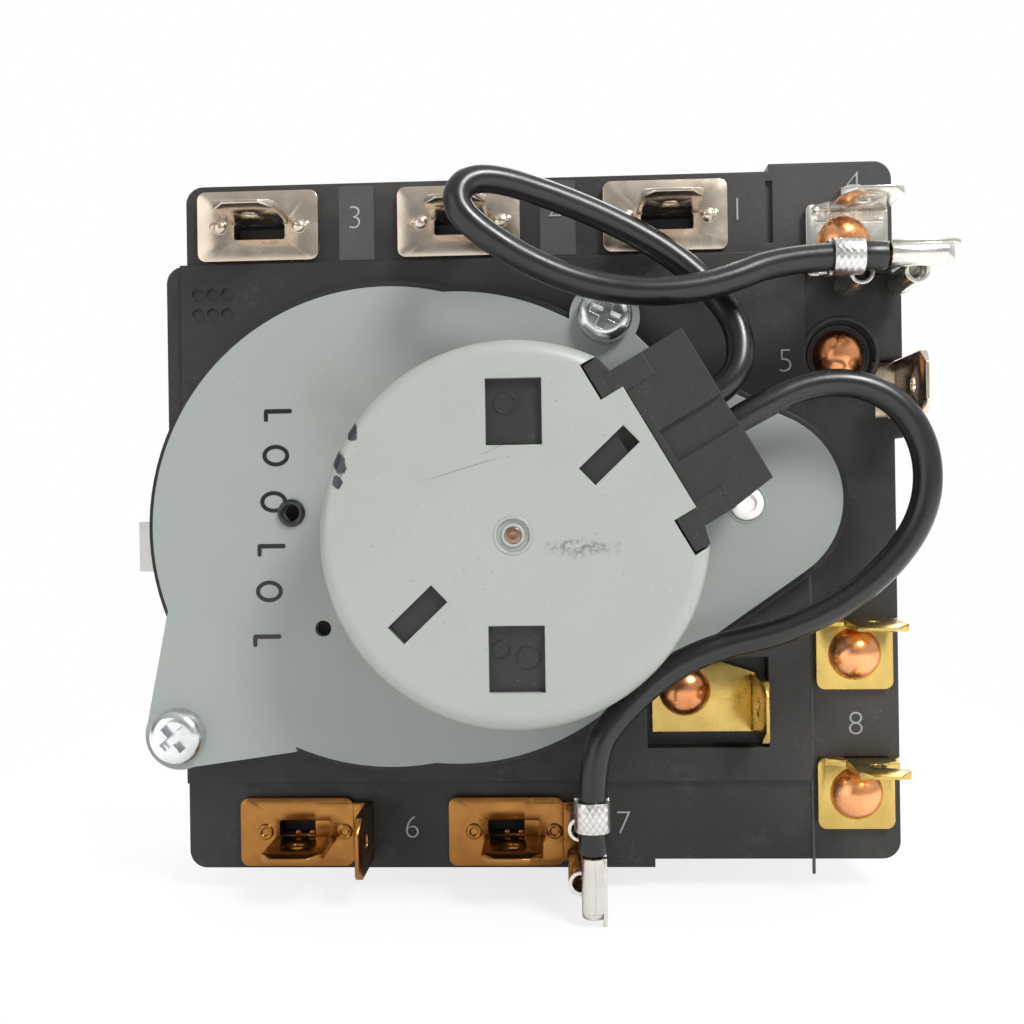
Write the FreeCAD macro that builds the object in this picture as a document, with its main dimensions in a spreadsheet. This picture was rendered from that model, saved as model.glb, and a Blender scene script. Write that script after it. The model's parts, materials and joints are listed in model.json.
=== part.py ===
import FreeCAD, Part
import math
import os
import re

import Sketcher
from FreeCAD import Placement, Rotation, Vector

# Clothes dryer timer: a moulded switch case behind a steel panel plate, a gear train under
# a grey gear plate, a synchronous motor on that plate, riveted tab terminals and two leads.
# Frame: the shaft axis is Y, the panel face is y = 0, the knob side is +Y and the motor side
# is -Y. Every "depth" below is measured from the panel face towards the motor, so y = -depth.

doc = FreeCAD.newDocument("DryerTimer")
sheet = doc.addObject("Spreadsheet::Sheet", "Sizes")

SIZES = {
    # Case, seen from the motor side: right is +X, up is +Z.
    "case_depth": 28.0,
    "case_left_step": 12.0,
    "case_right": 54.0,
    "case_right_pad": 0.9,
    "right_pad_top": 24.5,
    "right_pad_bottom": 8.7,
    "case_bottom_step": 0.9,
    "bottom_step_x": 27.8,
    "corner_block_left": 41.0,
    "corner_block_rise": 0.8,
    "corner_radius": 1.9,
    "outer_wall": 2.4,
    "deck_rise": 0.6,
    "deck_right": 44.6,
    # Round wall that carries the gear plate.
    "wall_rise": 2.8,
    "wall_lip": 0.8,
    "wall_thickness": 1.8,
    "plate_radius": 25.4,
    "bulge_x": 7.0,
    "bulge_z": 0.2,
    "bulge_radius": 24.9,
    "lobe_x": 38.3,
    "lobe_z": 2.3,
    "lobe_radius": 9.15,
    "cam_well_radius": 24.5,
    "gear_floor": 3.5,
    "gear_floor_thickness": 1.3,
    # Strips above and below the round wall, and the case's left edges, all set off from the gear plate.
    "strip_gap": 2.7,
    "strip_height": 8.7,
    "deck_gap": 1.7,
    "bottom_strip_height": 9.4,
    "left_inset": 0.5,
    "lower_left_inset": 2.2,
    "strip_left_inset": 2.8,
    "strip_foot": "=plate_radius + wall_lip + strip_gap",
    "strip_top": "=strip_foot + strip_height",
    "deck_bottom": "=plate_radius + wall_lip + deck_gap",
    "case_bottom": "=deck_bottom + bottom_strip_height",
    "case_left": "=plate_radius - left_inset",
    "case_lower_left": "=plate_radius - lower_left_inset",
    "strip_left": "=plate_radius - strip_left_inset",
    # Gear plate and its screws.
    "gear_plate_thickness": 1.2,
    "upper_screw_x": 23.0,
    "upper_screw_z": 21.7,
    "lower_screw_x": 22.8,
    "lower_screw_z": 21.9,
    "lug_radius": 3.7,
    "lug_reach": 12.6,
    "screw_head_radius": 2.9,
    "screw_head_height": 2.0,
    "screw_radius": 1.5,
    "screw_pilot_clearance": 0.02,
    "screw_length": 9.0,
    "screw_hole_clearance": 0.15,
    "cross_width": 0.9,
    "cross_length": 3.2,
    "cross_depth": 1.1,
    "post_hole_x": 10.4,
    "post_hole_z": 1.6,
    "post_hole_radius": 0.9,
    "post_collar": 0.5,
    "sight_hole_x": 7.2,
    "sight_hole_z": 10.7,
    "sight_hole_radius": 0.85,
    # Motor.
    "motor_x": 13.6,
    "motor_z": 0.85,
    "can_radius": 18.6,
    "can_height": 12.5,
    "can_wall": 0.8,
    "can_rim_radius": 1.6,
    "can_window": 5.3,
    "can_window_height": 6.3,
    "can_window_reach": 11.65,
    "can_slot_width": 2.2,
    "can_slot_length": 5.8,
    "can_slot_offset": 0.95,
    "can_slot_reach": 11.7,
    "can_slot_angle": 43.6,
    "dimple_radius": 1.85,
    "dimple_depth": 0.3,
    "rotor_pin_radius": 0.75,
    "can_flat_reach": 16.0,
    "connector_angle": 30.35,
    "connector_width": 17.0,
    "connector_reach": 7.0,
    "connector_height": 11.6,
    "connector_lip": 0.6,
    "connector_groove": 0.6,
    "connector_groove_width": 3.4,
    "connector_groove_shift": 0.4,
    "ear_width": 3.8,
    "ear_reach": 2.4,
    "ear_inset": 1.9,
    "bobbin_inner": 8.6,
    "bobbin_gap": 0.6,
    "bobbin_outer": "=can_radius - can_wall - bobbin_gap",
    "bobbin_core": 0.9,
    "bobbin_flange": 1.0,
    "bobbin_base": 0.9,
    "winding_inset": 1.8,
    "winding_outer": "=bobbin_outer - winding_inset",
    "pole_plate_thickness": 0.8,
    "pole_count": 6,
    "pole_length": 6.0,
    "pole_width": 2.6,
    "pole_gap": 0.5,
    "magnet_outer": 7.2,
    "magnet_inner": 3.0,
    "magnet_length": 8.0,
    "magnet_lift": 1.0,
    # Gear train.
    "gear_module": 0.8,
    "tooth_addendum": 0.8,
    "tooth_backlash": 0.12,
    "gear_thickness": 1.2,
    "gear_gap": 0.3,
    "rotor_teeth": 10,
    "idler_teeth": 24,
    "idler_pinion_teeth": 13,
    "hub_x": 37.5,
    "hub_z": 1.9,
    "lobe_teeth": 16,
    "lobe_pinion_teeth": 10,
    "transfer_teeth": 20,
    "transfer_pinion_teeth": 10,
    "drive_teeth": 58,
    "axle_radius": 0.9,
    "idler_axle_radius": 0.9,
    "running_clearance": 0.05,
    "bush_outer": 1.75,
    # Timer shaft, cam wheel and panel plate.
    "panel_thickness": 1.2,
    "panel_inset": 0.4,
    "panel_hole_z": 31.0,
    "panel_hole_radius": 1.75,
    "panel_hole_relief": 0.9,
    "panel_hole_depth": 9.0,
    "shaft_radius": 3.175,
    "shaft_reach": 23.0,
    "journal_radius": 3.6,
    "flat_depth": 0.8,
    "shaft_spigot": 2.0,
    "cam_shaft_radius": 3.0,
    "shaft_bush_outer": 5.0,
    "shaft_bush_flange": 6.6,
    "shaft_bush_flange_thickness": 1.2,
    "shaft_bush_reach": 4.0,
    "clip_outer": 5.2,
    "clip_thickness": 0.8,
    "clip_groove": 0.6,
    "cam_radius": 20.5,
    "cam_lift": 1.5,
    "cam_rim": 2.6,
    "cam_web": 2.0,
    "cam_hub": 5.5,
    "cam_foot_gap": 2.6,
    "cam_gap": 0.7,
    "washer_outer": 9.0,
    "washer_thickness": 0.4,
    "track_first": 5.2,
    "track_last": 2.8,
    "track_gap": 2.0,
    "blade_side_gap": 0.2,
    # Switch blades.
    "switch_left": 20.0,
    "switch_top": 18.0,
    "switch_bottom": 19.0,
    "blade_x": 22.8,
    "blade_thickness": 0.3,
    "blade_root": 3.2,
    "blade_free_end": 14.5,
    "blade_spacing": 2.5,
    "follower_height": 0.4,
    "follower_length": 2.4,
    "contact_z": 12.5,
    "contact_radius": 1.3,
    "contact_height": 0.7,
    # Panel plate legs.
    "leg_z": 1.9,
    "leg_width": 5.5,
    "leg_gap": 0.15,
    "left_leg_rise": 27.0,
    "right_leg_rise": 16.0,
    "leg_flare": 0.9,
    "leg_flare_length": 2.0,
    # Terminals.
    "stock": 0.8,
    "tab_width": 6.35,
    "tab_length": 7.4,
    "tab_bevel": 1.3,
    "tab_hole_radius": 0.85,
    "tab_hole_from_tip": 3.6,
    "top_plate_width": 13.3,
    "top_plate_height": 7.6,
    "top_plate_rise": 4.1,
    "top_plate_z": "=strip_foot + top_plate_rise",
    "top_tab_rise": 0.6,
    "top_tab_shift": 0.2,
    "top_left_inset": 8.1,
    "top_left_x": "=strip_left - top_left_inset",
    "top_middle_x": 7.5,
    "top_right_x": 29.8,
    "bottom_plate_width": 12.4,
    "bottom_plate_height": 7.4,
    "bottom_plate_drop": 5.3,
    "bottom_plate_z": "=deck_bottom + bottom_plate_drop",
    "bottom_tab_drop": 0.8,
    "bottom_tab_shift": 0.9,
    "bottom_left_inset": 12.1,
    "bottom_left_x": "=case_lower_left - bottom_left_inset",
    "bottom_middle_x": 11.7,
    "flag_tab_z": "=bottom_plate_z",
    "left_flag_reach": 7.9,
    "middle_flag_reach": 9.6,
    "plate_corner": 0.9,
    "window_width": 5.6,
    "window_height": 1.7,
    "rivet_head": 2.8,
    "rivet_dome": 2.0,
    "rivet_shank": 1.4,
    "rivet_length": 5.0,
    "right_plate_width": 8.1,
    "right_plate_height": 7.6,
    "right_plate_x": 49.2,
    "right_upper_z": 14.3,
    "right_lower_z": 29.2,
    "right_tab_x": 50.5,
    "right_tab_width": 5.2,
    "notch_from_tip": 1.9,
    "notch_length": 3.4,
    "notch_depth": 1.3,
    "corner_plate_x": 49.05,
    "corner_plate_z": 29.9,
    "corner_plate_height": 7.6,
    "corner_plate_width": 8.6,
    "corner_rivet_x": 48.7,
    "corner_rivet_z": 29.6,
    "corner_tab_x": 50.1,
    "corner_lower_tab_x": 50.9,
    "side_rivet_x": 48.4,
    "side_rivet_z": 17.7,
    "side_tab_x": 55.15,
    "side_tab_z": 14.0,
    "side_tab_rise": 7.4,
    "side_seat_depth": 3.0,
    "side_strip_reach": 3.4,
    "side_notch_left": 52.0,
    "slot_gap": 0.1,
    "side_recess_radius": 3.9,
    "recess_depth": 1.0,
    "inner_rivet_x": 31.3,
    "inner_rivet_z": 18.3,
    "inner_tab_x": 38.9,
    "inner_tab_z": 19.7,
    "inner_recess_depth": 1.6,
    "inner_recess_margin": 1.4,
    "rivet_corner_gap": 1.1,
    "dimple_pitch": 1.6,
    "dimple_row": 2.2,
    "mould_dimple_radius": 0.7,
    "mould_dimple_depth": 0.25,
    "mould_dimple_x": 19.6,
    "mould_dimple_z": 24.5,
    # Leads and their flag receptacles.
    "lead_diameter": 2.8,
    "lead_exit_pitch": 3.4,
    "lead_exit_drop": 6.6,
    "receptacle_stock": 0.4,
    "receptacle_width": 7.95,
    "receptacle_length": 7.2,
    "receptacle_roll": 1.25,
    "receptacle_stop": 0.8,
    "receptacle_shift": 0.3,
    "receptacle_gap": 0.05,
    "barrel_radius": 1.8,
    "barrel_shift": 0.5,
    "barrel_gap": 0.02,
    "band_start": 6.1,
    "band_length": 3.0,
    "crimp_start": 0.5,
    "crimp_radius": 1.2,
    "crimp_length": 6.1,
    "strap_rise": 0.3,
    "strap_root": 0.6,
    "crimp_sink": 0.1,
    "strap_point": 0.8,
    "lead_inset": 0.9,
    "lead_straight": 3.0,
    "lead_tail": 7.0,
}

# Where a polygon's corners stand before their constraints move them.
START_REACH = 9.0

for row, (alias, value) in enumerate(SIZES.items(), 1):
    sheet.set("A%d" % row, alias.replace("_", " "))
    sheet.set("B%d" % row, str(value))
    sheet.setAlias("B%d" % row, alias)
doc.recompute()


def sized(text):
    """Point every size name in an expression at its cell."""
    return re.sub(r"[a-z_]+", lambda m: "Sizes." + m[0] if m[0] in SIZES else m[0], text)


def size(alias):
    return float(sheet.get(alias))


def bind(item, **properties):
    for name, text in properties.items():
        item.setExpression(name.replace("__", "."), sized(text))


# Depths that many pieces share.
REAR = "(panel_thickness + case_depth)"
DECK = "(panel_thickness + case_depth + deck_rise)"
WALL_TOP = "(panel_thickness + case_depth + wall_rise)"
PLATE_TOP = "(panel_thickness + case_depth + wall_rise + gear_plate_thickness)"
CAN_TOP = "(panel_thickness + case_depth + wall_rise + gear_plate_thickness + can_height)"
GEAR_FLOOR = "(panel_thickness + case_depth - gear_floor)"
SWITCH_ROOF = "(panel_thickness + case_depth - gear_floor - gear_floor_thickness)"
PLATE_TIP = "(panel_thickness + case_depth + stock)"
TAB_TIP = "(panel_thickness + case_depth + stock + tab_length)"
CAM_TOP = "(panel_thickness + case_depth - gear_floor - cam_gap)"
CAM_LOW = "(panel_thickness + shaft_bush_flange_thickness + cam_foot_gap)"
TRACK_PITCH = "((%s - %s - track_first - track_last) / 2)" % (CAM_TOP, CAM_LOW)
TRACK_WIDTH = "(%s - track_gap)" % TRACK_PITCH
BLADE_WIDTH = "(%s - track_gap - 2 * blade_side_gap)" % TRACK_PITCH


def poly(*points):
    return ("poly", points)


def circle(x, z, radius):
    return ("circle", x, z, radius)


def rect(x, z, width, height):
    """A rectangle about a centre, from expressions."""
    left = "%s - (%s) / 2" % (x, width)
    right = "%s + (%s) / 2" % (x, width)
    low = "%s - (%s) / 2" % (z, height)
    high = "%s + (%s) / 2" % (z, height)
    return poly((left, low), (right, low), (right, high), (left, high))


def span(left, right, low, high):
    return poly((left, low), (right, low), (right, high), (left, high))


class Solid:
    """A PartDesign body that grows by pads and pockets drawn on its origin planes."""

    def __init__(self, label):
        self.body = doc.addObject("PartDesign::Body", label)
        self.body.Label = label
        self.steps = 0

    def draw(self, plane, offset, loops):
        self.steps += 1
        sketch = self.body.newObject("Sketcher::SketchObject", "%s_sketch_%d" % (self.body.Name, self.steps))
        support = [f for f in self.body.Origin.OriginFeatures if f.Role == plane][0]
        sketch.AttachmentSupport = [(support, "")]
        sketch.MapMode = "FlatFace"
        bind(sketch, AttachmentOffset__Base__z=offset)
        for loop in loops:
            if loop[0] == "circle":
                self.draw_circle(sketch, *loop[1:])
            else:
                self.draw_polygon(sketch, loop[1])
        return sketch

    def pin_point(self, sketch, geometry, position, x, z):
        for kind, text, axis in (("DistanceX", x, -2), ("DistanceY", z, -1)):
            if text == "0":
                sketch.addConstraint(Sketcher.Constraint("PointOnObject", geometry, position, axis))
                continue
            index = sketch.addConstraint(Sketcher.Constraint(kind, -1, 1, geometry, position, 1.0))
            sketch.setExpression("Constraints[%d]" % index, sized(text))

    def draw_circle(self, sketch, x, z, radius):
        item = sketch.addGeometry(Part.Circle(Vector(1, 1, 0), Vector(0, 0, 1), 1))
        index = sketch.addConstraint(Sketcher.Constraint("Radius", item, 1.0))
        sketch.setExpression("Constraints[%d]" % index, sized(radius))
        if x == "0" and z == "0":
            sketch.addConstraint(Sketcher.Constraint("Coincident", item, 3, -1, 1))
        else:
            self.pin_point(sketch, item, 3, x, z)

    def draw_polygon(self, sketch, points):
        count = len(points)
        turn = 2 * math.pi / count
        start = [Vector(math.cos(turn * i), math.sin(turn * i), 0) * START_REACH for i in range(count)]
        lines = [Part.LineSegment(start[i], start[(i + 1) % count]) for i in range(count)]
        first = sketch.addGeometry(lines)[0]
        sketch.addConstraint([Sketcher.Constraint("Coincident", first + i, 2, first + (i + 1) % count, 1)
                              for i in range(count)])
        for i, (x, z) in enumerate(points):
            self.pin_point(sketch, first + i, 1, x, z)

    def pad(self, start, end, *loops, plane="XZ_Plane"):
        sketch = self.draw(plane, start, loops)
        pad = self.body.newObject("PartDesign::Pad", "%s_pad_%d" % (self.body.Name, self.steps))
        pad.Profile = sketch
        pad.Refine = True
        bind(pad, Length="(%s) - (%s)" % (end, start))
        self.last = pad
        return pad

    def cut(self, start, end, *loops, plane="XZ_Plane"):
        sketch = self.draw(plane, end, loops)
        pocket = self.body.newObject("PartDesign::Pocket", "%s_cut_%d" % (self.body.Name, self.steps))
        pocket.Profile = sketch
        pocket.Refine = True
        bind(pocket, Length="(%s) - (%s)" % (end, start))
        self.last = pocket
        return pocket

    def round(self, radius, choose):
        """Fillet the edges of the last feature that a test picks."""
        doc.recompute()
        names = ["Edge%d" % (i + 1) for i, edge in enumerate(self.last.Shape.Edges) if choose(edge)]
        fillet = self.body.newObject("PartDesign::Fillet", "%s_round_%d" % (self.body.Name, self.steps))
        fillet.Base = (self.last, names)
        bind(fillet, Radius=radius)
        self.last = fillet
        return fillet


def along_y(edge):
    """True for a straight edge parallel to the shaft."""
    ends = [v.Point for v in edge.Vertexes]
    if len(ends) != 2 or edge.Curve.TypeId != "Part::GeomLine":
        return False
    step = ends[1] - ends[0]
    return abs(step.y) > 0.1 and abs(step.x) + abs(step.z) < 1e-6


def rod(label, x, z, start, end, radius):
    """A cylinder parallel to the shaft, from one depth to another."""
    item = doc.addObject("Part::Cylinder", label)
    item.Placement = Placement(Vector(), Rotation(Vector(1, 0, 0), 90))
    bind(item, Radius=radius, Height="(%s) - (%s)" % (end, start), Placement__Base__x=x,
         Placement__Base__y="-(%s)" % start, Placement__Base__z=z)
    return item


def fuse(label, items):
    item = doc.addObject("Part::MultiFuse", label)
    item.Shapes = items
    item.Refine = True
    return item


def cut(label, base, tool):
    item = doc.addObject("Part::Cut", label)
    item.Base = base
    item.Tool = tool
    item.Refine = True
    return item


def shaped(label, shape):
    item = doc.addObject("Part::Feature", label)
    item.Shape = shape
    return item


parts = []


def keep(item, label):
    item = item.body if isinstance(item, Solid) else item
    item.Label = label
    parts.append(item)
    return item


def wall_loops(grow):
    """The plan of the gear plate: two circles and a tangent web out to the lobe circle."""
    run_x = size("lobe_x") - size("bulge_x")
    run_z = size("lobe_z") + size("bulge_z")
    lean = math.degrees(math.atan2(run_z, run_x))
    spread = math.degrees(math.acos((size("bulge_radius") - size("lobe_radius")) / math.hypot(run_x, run_z)))
    web = []
    for x, z, radius, turn in (("bulge_x", "-bulge_z", "bulge_radius", lean + spread),
                               ("bulge_x", "-bulge_z", "bulge_radius", lean - spread),
                               ("lobe_x", "lobe_z", "lobe_radius", lean - spread),
                               ("lobe_x", "lobe_z", "lobe_radius", lean + spread)):
        reach = "(%s + %s)" % (radius, grow)
        web.append(("%s + %s * cos(%.9f deg)" % (x, reach, turn),
                    "%s + %s * sin(%.9f deg)" % (z, reach, turn)))
    return [[circle("0", "0", "plate_radius + %s" % grow)],
            [circle("bulge_x", "-bulge_z", "bulge_radius + %s" % grow)],
            [circle("lobe_x", "lobe_z", "lobe_radius + %s" % grow)],
            [poly(*web)]]


def build_case():
    case = Solid("rear_case")
    case.pad("panel_thickness", REAR, poly(
        ("-case_left", "strip_foot"), ("-case_left", "-case_left_step"),
        ("-case_lower_left", "-case_left_step"), ("-case_lower_left", "-case_bottom"),
        ("bottom_step_x", "-case_bottom"), ("bottom_step_x", "-case_bottom + case_bottom_step"),
        ("case_right", "-case_bottom + case_bottom_step"), ("case_right", "right_pad_bottom"),
        ("case_right + case_right_pad", "right_pad_bottom"),
        ("case_right + case_right_pad", "right_pad_top"), ("case_right", "right_pad_top"),
        ("case_right", "strip_top + corner_block_rise"),
        ("corner_block_left", "strip_top + corner_block_rise"), ("corner_block_left", "strip_top"),
        ("-strip_left", "strip_top"), ("-strip_left", "strip_foot")))
    edges_x = (-size("case_lower_left"), -size("case_left"), -size("strip_left"), size("case_right"))
    outer = [-size("case_bottom"), size("strip_top"), size("strip_foot"),
             size("strip_top") + size("corner_block_rise"),
             size("case_bottom_step") - size("case_bottom")]

    def is_corner(edge):
        if not along_y(edge):
            return False
        point = edge.Vertexes[0].Point
        near_x = min(abs(point.x - x) for x in edges_x) < 0.01
        near_z = min(abs(point.z - z) for z in outer) < 0.01
        inner = abs(point.x + size("strip_left")) < 0.01 and abs(point.z - size("strip_foot")) < 0.01
        return near_x and near_z and not inner

    case.round("corner_radius", is_corner)
    case.pad("panel_thickness", DECK, span("-case_lower_left", "deck_right", "-deck_bottom", "strip_foot"))
    for loops in wall_loops("wall_lip"):
        case.pad("panel_thickness", WALL_TOP, *loops)
    for x, z in (("upper_screw_x", "upper_screw_z"), ("-lower_screw_x", "-lower_screw_z")):
        case.pad("panel_thickness", WALL_TOP, circle(x, z, "lug_radius - wall_lip"))
    # Wells for the cam wheel, the gears and the switch blades.
    case.cut("panel_thickness", WALL_TOP, circle("0", "0", "cam_well_radius"))
    for loops in wall_loops("wall_lip - wall_thickness")[1:]:
        case.cut(GEAR_FLOOR, WALL_TOP, *loops)
    case.cut("panel_thickness", SWITCH_ROOF,
             span("switch_left", "case_right - outer_wall", "-switch_bottom", "switch_top"))
    # Slots that hold the roots of the blades.
    for index in range(3):
        middle = track_middle(index)
        low = "%s - %s / 2" % (middle, BLADE_WIDTH)
        high = "%s + %s / 2" % (middle, BLADE_WIDTH)
        case.cut(low, high, span("blade_x", "blade_x + blade_thickness", "switch_top - 1",
                                 "switch_top + blade_root"))
        case.cut(low, high, span(FIXED_X, FIXED_X + " + blade_thickness", "-switch_bottom - blade_root",
                                 "-switch_bottom + 1"))
    # Screw holes, axle holes and rivet holes.
    for x, z in (("upper_screw_x", "upper_screw_z"), ("-lower_screw_x", "-lower_screw_z")):
        case.cut(WALL_TOP + " - screw_length", WALL_TOP, circle(x, z, "screw_radius + screw_pilot_clearance"))
    for name in ("lobe", "transfer"):
        x, z = axis_text(name)
        case.cut(SWITCH_ROOF, GEAR_FLOOR, circle(x, z, "axle_radius"))
    for x, z, top, shank in rivet_places():
        case.cut("%s - rivet_length - 1" % top, top + " + stock",
                 circle(x, z, "rivet_shank + screw_pilot_clearance"))
    for z in ("panel_hole_z", "-panel_hole_z"):
        case.cut("panel_thickness", "panel_thickness + panel_hole_depth",
                 circle("0", z, "panel_hole_radius + panel_hole_relief"))
    # Openings under the lanced tabs.
    for x, z, side in lanced_places():
        tab_x, tab_z, window_z = lanced_tab(x, z, side)
        case.cut(REAR + " - window_height", REAR, rect(tab_x, window_z, "window_width", "window_height"))
    # Side terminal: a recess for its rivet head, a slot for its strip and a notch for its tab.
    seat = REAR + " - side_seat_depth"
    low = "side_tab_z - tab_width / 2 - slot_gap"
    high = "side_tab_z + tab_width / 2 + slot_gap"
    case.cut(REAR + " - recess_depth", REAR + " + 2", circle("side_rivet_x", "side_rivet_z", "side_recess_radius"))
    case.cut(seat + " - slot_gap", seat + " + stock + slot_gap",
             circle("side_rivet_x", "side_rivet_z", "side_strip_reach + slot_gap"))
    case.cut(seat + " - slot_gap", seat + " + stock + slot_gap",
             span("side_rivet_x - slot_gap", "case_right + case_right_pad + 1", low, high))
    case.cut(seat + " - slot_gap", REAR + " + 2",
             span("side_notch_left", "case_right + case_right_pad + 1", low, high))
    # Seat of the inner terminal.
    case.cut(REAR + " - inner_recess_depth", REAR + " + 2",
             span("inner_rivet_x - rivet_head - inner_recess_margin", "inner_tab_x + stock + 0.4",
                  "-inner_tab_z - tab_width / 2 - inner_recess_margin",
                  "-inner_rivet_z + rivet_head + 0.9"))
    # Moulding marks: a groove at the corner block and two rows of dimples.
    case.cut(REAR + " - mould_dimple_depth * 2", REAR, rect("corner_block_left", "(strip_foot + strip_top) / 2",
                                                            "mould_dimple_radius", "strip_top - strip_foot - 2"))
    dimples = [circle("-mould_dimple_x + %d * dimple_pitch" % i, "mould_dimple_z + %d * dimple_row / 2" % j,
                      "mould_dimple_radius") for i in (-1, 0, 1) for j in (-1, 1)]
    case.cut(DECK + " - mould_dimple_depth", DECK, *dimples)
    keep(case, "rear_case")


FIXED_X = "blade_x + blade_thickness + blade_spacing"


def track_middle(index):
    return "(%s - track_first - %d * %s)" % (CAM_TOP, index, TRACK_PITCH)


def lanced_places():
    """Plan centre of each lanced plate, and the strip it stands on."""
    return [("-top_left_x", "top_plate_z", "top"), ("top_middle_x", "top_plate_z", "top"),
            ("top_right_x", "top_plate_z", "top"), ("-bottom_left_x", "-bottom_plate_z", "bottom"),
            ("bottom_middle_x", "-bottom_plate_z", "bottom")]


def lanced_tab(x, z, side):
    """Plan place of a lanced tab, and the height of the window it was cut from."""
    if side == "top":
        tab_z = "%s + top_tab_rise" % z
        return x + " + top_tab_shift", tab_z, "%s - (stock + window_height) / 2" % tab_z
    tab_z = "%s - bottom_tab_drop" % z
    return x + " + bottom_tab_shift", tab_z, "%s + (stock + window_height) / 2" % tab_z


def rivet_places():
    """Plan place, seat depth and name of each terminal rivet."""
    return [("corner_rivet_x", "corner_rivet_z", REAR, "corner"),
            ("side_rivet_x", "side_rivet_z", REAR + " - recess_depth - stock", "side"),
            ("right_plate_x", "-right_upper_z", REAR, "upper"),
            ("right_plate_x", "-right_lower_z", REAR, "lower"),
            ("inner_rivet_x", "-inner_rivet_z", REAR + " - inner_recess_depth", "inner")]


def meet(first, first_reach, second, second_reach, side):
    """The point at two given distances from two others, above or below their line."""
    gap = (second[0] - first[0], second[1] - first[1])
    length = math.hypot(*gap)
    along = (first_reach ** 2 - second_reach ** 2 + length ** 2) / (2 * length)
    across = side * math.sqrt(first_reach ** 2 - along ** 2)
    unit = (gap[0] / length, gap[1] / length)
    return (first[0] + along * unit[0] - across * unit[1], first[1] + along * unit[1] + across * unit[0])


def gear_axes():
    """Plan places of the five gear axes, from the tooth counts."""
    half = size("gear_module") / 2
    shaft = (0.0, 0.0)
    motor = (size("motor_x"), -size("motor_z"))
    lobe = (size("hub_x"), size("hub_z"))
    idler = meet(motor, half * (size("rotor_teeth") + size("idler_teeth")),
                 lobe, half * (size("idler_pinion_teeth") + size("lobe_teeth")), 1)
    transfer = meet(shaft, half * (size("drive_teeth") + size("transfer_pinion_teeth")),
                    lobe, half * (size("lobe_pinion_teeth") + size("transfer_teeth")), -1)
    return {"drive": shaft, "rotor": motor, "lobe": lobe, "idler": idler, "transfer": transfer}


AXES = gear_axes()


def axis_text(name):
    return "%.9f" % AXES[name][0], "%.9f" % AXES[name][1]


def involute(angle):
    return math.tan(angle) - angle


def tooth_profile(teeth, phase):
    """Plan points of a spur gear with its first tooth at the phase angle."""
    module = size("gear_module")
    pitch = module * teeth / 2
    base = pitch * math.cos(math.radians(20))
    tip = pitch + module * size("tooth_addendum")
    root = pitch - module * 1.1
    half = math.pi / (2 * teeth) - size("tooth_backlash") / (4 * pitch)

    def half_angle(radius):
        if radius <= base:
            slack = (base - radius) / base
            return half + involute(math.radians(20)) - slack * 0.6
        return half + involute(math.radians(20)) - involute(math.acos(base / radius))

    radii = [root, max(base, (root + pitch) / 2), pitch, (pitch + tip) / 2, tip]
    points = []
    for index in range(int(teeth)):
        middle = phase + 2 * math.pi * index / teeth
        for radius in radii:
            points.append((radius, middle - half_angle(radius)))
        for radius in reversed(radii):
            points.append((radius, middle + half_angle(radius)))
    return [(r * math.cos(a), r * math.sin(a)) for r, a in points]


def prism(points, centre, start, end):
    """A plan outline carried from one depth to another."""
    loop = [Vector(centre[0] + x, -start, centre[1] + z) for x, z in points]
    face = Part.Face(Part.makePolygon(loop + loop[:1]))
    return face.extrude(Vector(0, start - end, 0))


def disc(centre, start, end, radius):
    return Part.makeCylinder(radius, end - start, Vector(centre[0], -start, centre[1]), Vector(0, -1, 0))


def mesh_phase(driver, driver_teeth, driver_phase, driven, driven_teeth):
    """The phase that sets a driven gear's gap on its driver's tooth."""
    heading = math.atan2(driven[1] - driver[1], driven[0] - driver[0])
    place = (heading - driver_phase) * driver_teeth / (2 * math.pi)
    return heading + math.pi - (0.5 - place) * 2 * math.pi / driven_teeth


def level(index):
    """Lower and upper depth of a gear level, counted down from the gear plate."""
    top = (size("panel_thickness") + size("case_depth") + size("wall_rise") - size("gear_gap")
           - index * (size("gear_thickness") + size("gear_gap")))
    return top - size("gear_thickness"), top


def cluster(name, wheel_teeth, wheel_phase, pinion_teeth, pinion_phase, wheel_level, bore):
    """A wheel with its pinion one level below, bored for its axle."""
    centre = AXES[name]
    wheel_low, wheel_top = level(wheel_level)
    pinion_low = level(wheel_level + 1)[0]
    wheel = prism(tooth_profile(wheel_teeth, wheel_phase), centre, wheel_low, wheel_top)
    pinion = prism(tooth_profile(pinion_teeth, pinion_phase), centre, pinion_low, wheel_low)
    return wheel.fuse(pinion).cut(disc(centre, pinion_low - 1, wheel_top + 1, bore)).removeSplitter()


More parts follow.
